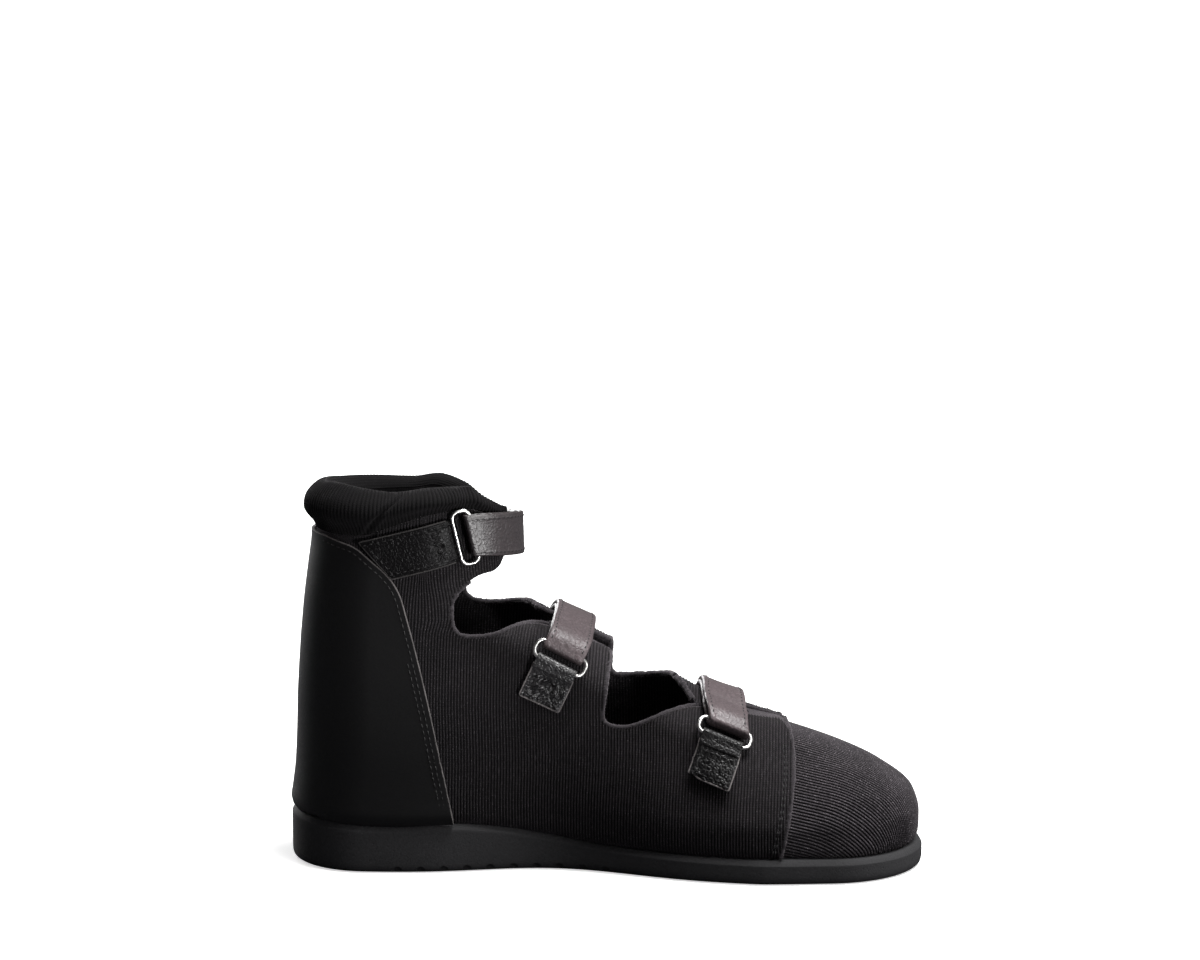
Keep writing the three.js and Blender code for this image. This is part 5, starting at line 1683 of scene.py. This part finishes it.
class SHOE_OT_chapes(bpy.types.Operator):
    """Creased leather tabs that hold the rings, sewn down on the knit"""
    bl_idname = "shoe.chapes"
    bl_label = "Ring Tabs"

    def execute(self, context):
        scene = context.scene
        leather, thread, ring = scene.shoe_leather, scene.shoe_thread, scene.shoe_ring
        width, spacing, wire = mm(leather.width), mm(ring.spacing), mm(ring.wire)
        top = CHAPE_SEAT + mm(leather.chape)
        sewn = thread_finish(thread)
        section = strip_section(width, .6, 65, 9)
        for name, row in CLOSURES.items():
            place = RingPlace(row, spacing, width)
            s_axis = -np.linspace(row["chape"] + .5, 0, 30)
            w_axis = np.linspace(-width / 2 - .5, width / 2 + .5, 9)
            s, w = (v.ravel() for v in np.meshgrid(s_axis, w_axis, indexing="ij"))
            slant = row["skew"] * w * smooth(1.5, row["chape"], -s)
            spots = place.start + (s - slant)[:, None] * place.run + w[:, None] * place.across
            seats = seat_at(spots, top)
            normals = normal_at(seats).reshape(len(s_axis), len(w_axis), 3)
            seats = seats.reshape(normals.shape)

            def laid(s, w, o, place=place, seats=seats, normals=normals, s_axis=s_axis, w_axis=w_axis):
                share = smooth(1.5, 7, -s)[..., None]
                rigid = place.place(s, w, o)
                at = np.clip(s, s_axis[0], 0)
                skin_at = lattice(seats, s_axis, w_axis, at, w)
                normal = unit(lattice(normals, s_axis, w_axis, at, w))
                return rigid + (skin_at + normal * o[..., None] - rigid) * share

            stations, flat = chape_stations(row, leather, wire)
            gather = Gather()
            gather.add(*loft(strip(stations, section, laid, chape_relief(name, row, width), .45)))
            for edge in (-1, 1):
                lines = stations[1 : flat - 3]
                s = lines[:, 0]
                w = 0 * s + edge * (width / 2 - 2.0)
                line = laid(s, w, lines[:, 1])
                stitch_row(gather, line, unit(line - laid(s, w, lines[:, 3])), thread, 1, -.1)
            for at in (-5.6, -row["chape"] + 2.2):
                w = np.linspace(-width / 2 + 2, width / 2 - 2, 30)
                line = laid(0 * w + at, w, 0 * w + top)
                stitch_row(gather, line, unit(line - laid(0 * w + at, w, 0 * w + CHAPE_SEAT)), thread, 1, -.1)
            gather.add(*tube(*rim_path(stations[:flat], width, laid), .4, 8), 2)
            # The ankle tab's cut edge is the plain cut edge dimmed to .22, painted shade like the ankle tab's
            # own tone.
            raw = raw_finish(leather, "cut_ankle_edge", .22) if name == "ankle" else raw_finish(leather)
            piece = gather.object(f"leather_tab_{name}", [chape_finish(leather, name), sewn, raw])
            seated(piece, f"chape_{name}", 60)
        return {"FINISHED"}


def rim_path(stations, width, laid):
    """Line round the three sewn sides of a ring tab, at its cut edge."""
    s = stations[::-1, 0]
    w = np.linspace(-width / 2, width / 2, 24)
    side_s = np.concatenate([s, np.full(len(w) - 2, s[-1]), s[::-1]])
    side_w = np.concatenate([np.full(len(s), -width / 2), w[1:-1], np.full(len(s), width / 2)])
    upper = np.full(len(side_s), stations[0, 1] - .55)
    line = laid(side_s, side_w, upper)
    below = laid(side_s, side_w, upper - 1)
    path = resampled(line, .6)
    at, run = np.linspace(0, 1, len(path)), np.linspace(0, 1, len(line))
    return relaxed(path), unit(along_line(at, run, unit(line - below)))


def chape_relief(name, row, width):
    """Crumpled facets with raised creases, stitched-in edges and a plain band in front of the bar."""
    long = row["chape"] - 3
    rng = np.random.default_rng({"ankle": 11, "instep": 14, "forefoot": 17}[name])
    spots = rng.uniform((-1, -width / 2 - 1), (long + 1, width / 2 + 1), (round(long * width / 3.2), 2))
    tilts = rng.normal(size=(len(spots), 2))

    def relief(run, w):
        edge = np.abs(np.abs(w) - (width / 2 - 2.0))
        total = -.24 * np.exp(-(edge / .6) ** 2)
        place = np.stack([run.ravel(), w.ravel()], axis=1)
        apart = place[:, None] - spots
        lean = np.where(place[:, 1] < 0, .75, -.75)[:, None]
        apart = np.stack([apart[..., 0] * np.cos(lean) + apart[..., 1] * np.sin(lean),
                          (apart[..., 1] * np.cos(lean) - apart[..., 0] * np.sin(lean)) * 2.2], axis=-1)
        gaps = np.linalg.norm(apart, axis=2)
        order = np.argsort(gaps, axis=1)[:, :2]
        first, second = np.take_along_axis(gaps, order, axis=1).T
        facet = np.einsum("ij,ij->i", place - spots[order[:, 0]], tilts[order[:, 0]])
        crumple = .2 * facet * np.clip((second - first) / .5, 0, 1) + .5 * np.exp(-(second - first) / .4)
        amount = (1 - smooth(long - 4.2, long - 2.6, run)) * smooth(0, .9, width / 2 - 1.1 - np.abs(w))
        if name == "ankle":
            amount = amount * (.06 + .6 * smooth(long - 10, long - 5, run))
        else:
            amount = amount * {"instep": 1.9, "forefoot": .7}[name]
        return total + crumple.reshape(run.shape) * amount
    return relief


class SHOE_OT_rings(bpy.types.Operator):
    """Oval rings of round plated wire"""
    bl_idname = "shoe.rings"
    bl_label = "Rings"

    def execute(self, context):
        looks = context.scene.shoe_ring
        width = mm(context.scene.shoe_leather.width)
        spacing, wire, corner = mm(looks.spacing), mm(looks.wire) / 2, mm(looks.corner)
        half_s, half_w = spacing / 2, mm(looks.length) / 2 - wire
        for name, row in CLOSURES.items():
            place = RingPlace(row, spacing, width)
            path = []
            for k, (sign_s, sign_w) in enumerate(((1, 1), (-1, 1), (-1, -1), (1, -1))):
                for turn in np.radians(np.linspace(k * 90, k * 90 + 90, 14)):
                    path.append((sign_s * (half_s - corner) + corner * math.cos(turn),
                                 sign_w * (half_w - corner) + corner * math.sin(turn)))
            path = resampled(np.array(path + path[:1]), .5)[:-1]
            s, w = path.T
            heights = (STRAP_BAR + CHAPE_BAR) / 2 + (STRAP_BAR - CHAPE_BAR) / spacing * s
            line = place.place(half_s + s, w, heights)
            ahead = unit(np.roll(line, -1, 0) - np.roll(line, 1, 0))
            side = unit(np.cross(ahead, place.out))
            up = np.cross(side, ahead)
            turn = np.linspace(0, 2 * np.pi, 20, endpoint=False)
            rings = line[:, None] + wire * (
                np.cos(turn)[:, None] * side[:, None] + np.sin(turn)[:, None] * up[:, None])
            gather = Gather()
            gather.add(*loft(rings, closed=True))
            piece = gather.object(f"wire_ring_{name}", [nickel_finish(looks)])
            seated(piece, f"ring_{name}", 80)
        return {"FINISHED"}


class SHOE_OT_stage(bpy.types.Operator):
    """Pale floor, soft studio light and the camera"""
    bl_idname = "shoe.stage"
    bl_label = "Stage"

    def execute(self, context):
        looks = context.scene.shoe_stage
        mesh = bpy.data.meshes.new("floor")
        ways = ((-1, -1), (1, -1), (1, 1), (-1, 1))
        corners = [(x * FLOOR_HALF, y * FLOOR_HALF, FLOOR_LEVEL) for x, y in ways]
        mesh.from_pydata(corners, [], [(0, 1, 2, 3)])
        floor = bpy.data.objects.new("floor", mesh)
        context.scene.collection.objects.link(floor)
        made, tree, shader = material("floor_paper")
        place = put(tree, "ShaderNodeTexCoord").outputs["Object"]
        fine = put(tree, "ShaderNodeTexNoise", {"Vector": place, "Scale": 3.0, "Detail": 2.0}).outputs[0]
        pale = [c * 1.02 for c in looks.floor[:3]] + [1]
        seen = put(tree, "ShaderNodeLightPath").outputs["Is Camera Ray"]
        paper = between(tree, fine, tuple(looks.floor), tuple(pale))
        tree.links.new(between(tree, seen, tuple(looks.bounce), paper), shader.inputs["Base Color"])
        tree.links.new(maths(tree, "MULTIPLY", seen, .6), shader.inputs["Emission Strength"])
        shader.inputs["Emission Color"].default_value = (1, 1, 1, 1)
        shader.inputs["Roughness"].default_value = .9
        shader.inputs["Specular IOR Level"].default_value = .1
        mesh.materials.append(made)

        world = bpy.data.worlds.new("studio")
        world.use_nodes = True
        sky = world.node_tree.nodes["Background"].inputs
        sky["Color"].default_value = (1, 1, 1, 1)
        sky["Strength"].default_value = looks.sky
        context.scene.world = world
        context.scene.view_settings.view_transform = "Standard"
        for name, (soft, at) in LAMPS.items():
            lamp = bpy.data.lights.new(name, "SUN")
            lamp.energy, lamp.angle = getattr(looks, name), math.radians(soft)
            made = bpy.data.objects.new(name, lamp)
            made.location = Vector(at) * 2
            made.rotation_euler = Vector(at).to_track_quat("Z", "Y").to_euler()
            context.scene.collection.objects.link(made)
        lamp = bpy.data.lights.new("front", "SPOT")
        lamp.energy, lamp.shadow_soft_size = looks.front, SPOT["size"]
        lamp.spot_size, lamp.spot_blend = math.radians(SPOT["cone"]), 1
        made = bpy.data.objects.new("front", lamp)
        made.location = SPOT["at"]
        made.rotation_euler = (made.location - Vector(SPOT["aim"])).to_track_quat("Z", "Y").to_euler()
        context.scene.collection.objects.link(made)

        data = bpy.data.cameras.new("camera")
        data.lens, data.sensor_width = looks.lens, CAMERA["sensor"]
        data.clip_end = 200
        camera = bpy.data.objects.new("camera", data)
        camera.location = CAMERA["at"]
        turn, pitch = math.radians(CAMERA["turn"]), math.radians(CAMERA["pitch"])
        way = Vector((-math.sin(turn) * math.cos(pitch), math.cos(turn) * math.cos(pitch), -math.sin(pitch)))
        camera.rotation_euler = way.to_track_quat("-Z", "Y").to_euler()
        context.scene.collection.objects.link(camera)
        context.scene.camera = camera
        return {"FINISHED"}


OPERATORS = (
    SHOE_OT_stage, SHOE_OT_outsole, SHOE_OT_vamp, SHOE_OT_quarters, SHOE_OT_counter, SHOE_OT_collar,
    SHOE_OT_straps, SHOE_OT_chapes, SHOE_OT_rings,
)


class SHOE_PT_pieces(bpy.types.Panel):
    """Pieces of the shoe, and their sizes and colours"""
    bl_idname = "SHOE_PT_pieces"
    bl_label = "Support Shoe"
    bl_space_type = "VIEW_3D"
    bl_region_type = "UI"
    bl_category = "Support Shoe"

    def draw(self, context):
        for operator in OPERATORS:
            self.layout.operator(operator.bl_idname)
        for name in GROUPS:
            box = self.layout.box()
            group = getattr(context.scene, name)
            for prop in group.bl_rna.properties:
                if prop.identifier not in ("rna_type", "name"):
                    box.prop(group, prop.identifier)


CLASSES = (*GROUPS.values(), *OPERATORS, SHOE_PT_pieces)


def register():
    for cls in CLASSES:
        bpy.utils.register_class(cls)
    for name, group in GROUPS.items():
        setattr(bpy.types.Scene, name, PointerProperty(type=group))


def unregister():
    for name in GROUPS:
        delattr(bpy.types.Scene, name)
    for cls in reversed(CLASSES):
        bpy.utils.unregister_class(cls)


def main():
    register()
    bpy.ops.shoe.stage()
    bpy.ops.shoe.outsole()
    bpy.ops.shoe.vamp()
    bpy.ops.shoe.quarters()
    bpy.ops.shoe.counter()
    bpy.ops.shoe.collar()
    bpy.ops.shoe.straps()
    bpy.ops.shoe.chapes()
    bpy.ops.shoe.rings()


if __name__ == "__main__":
    main()
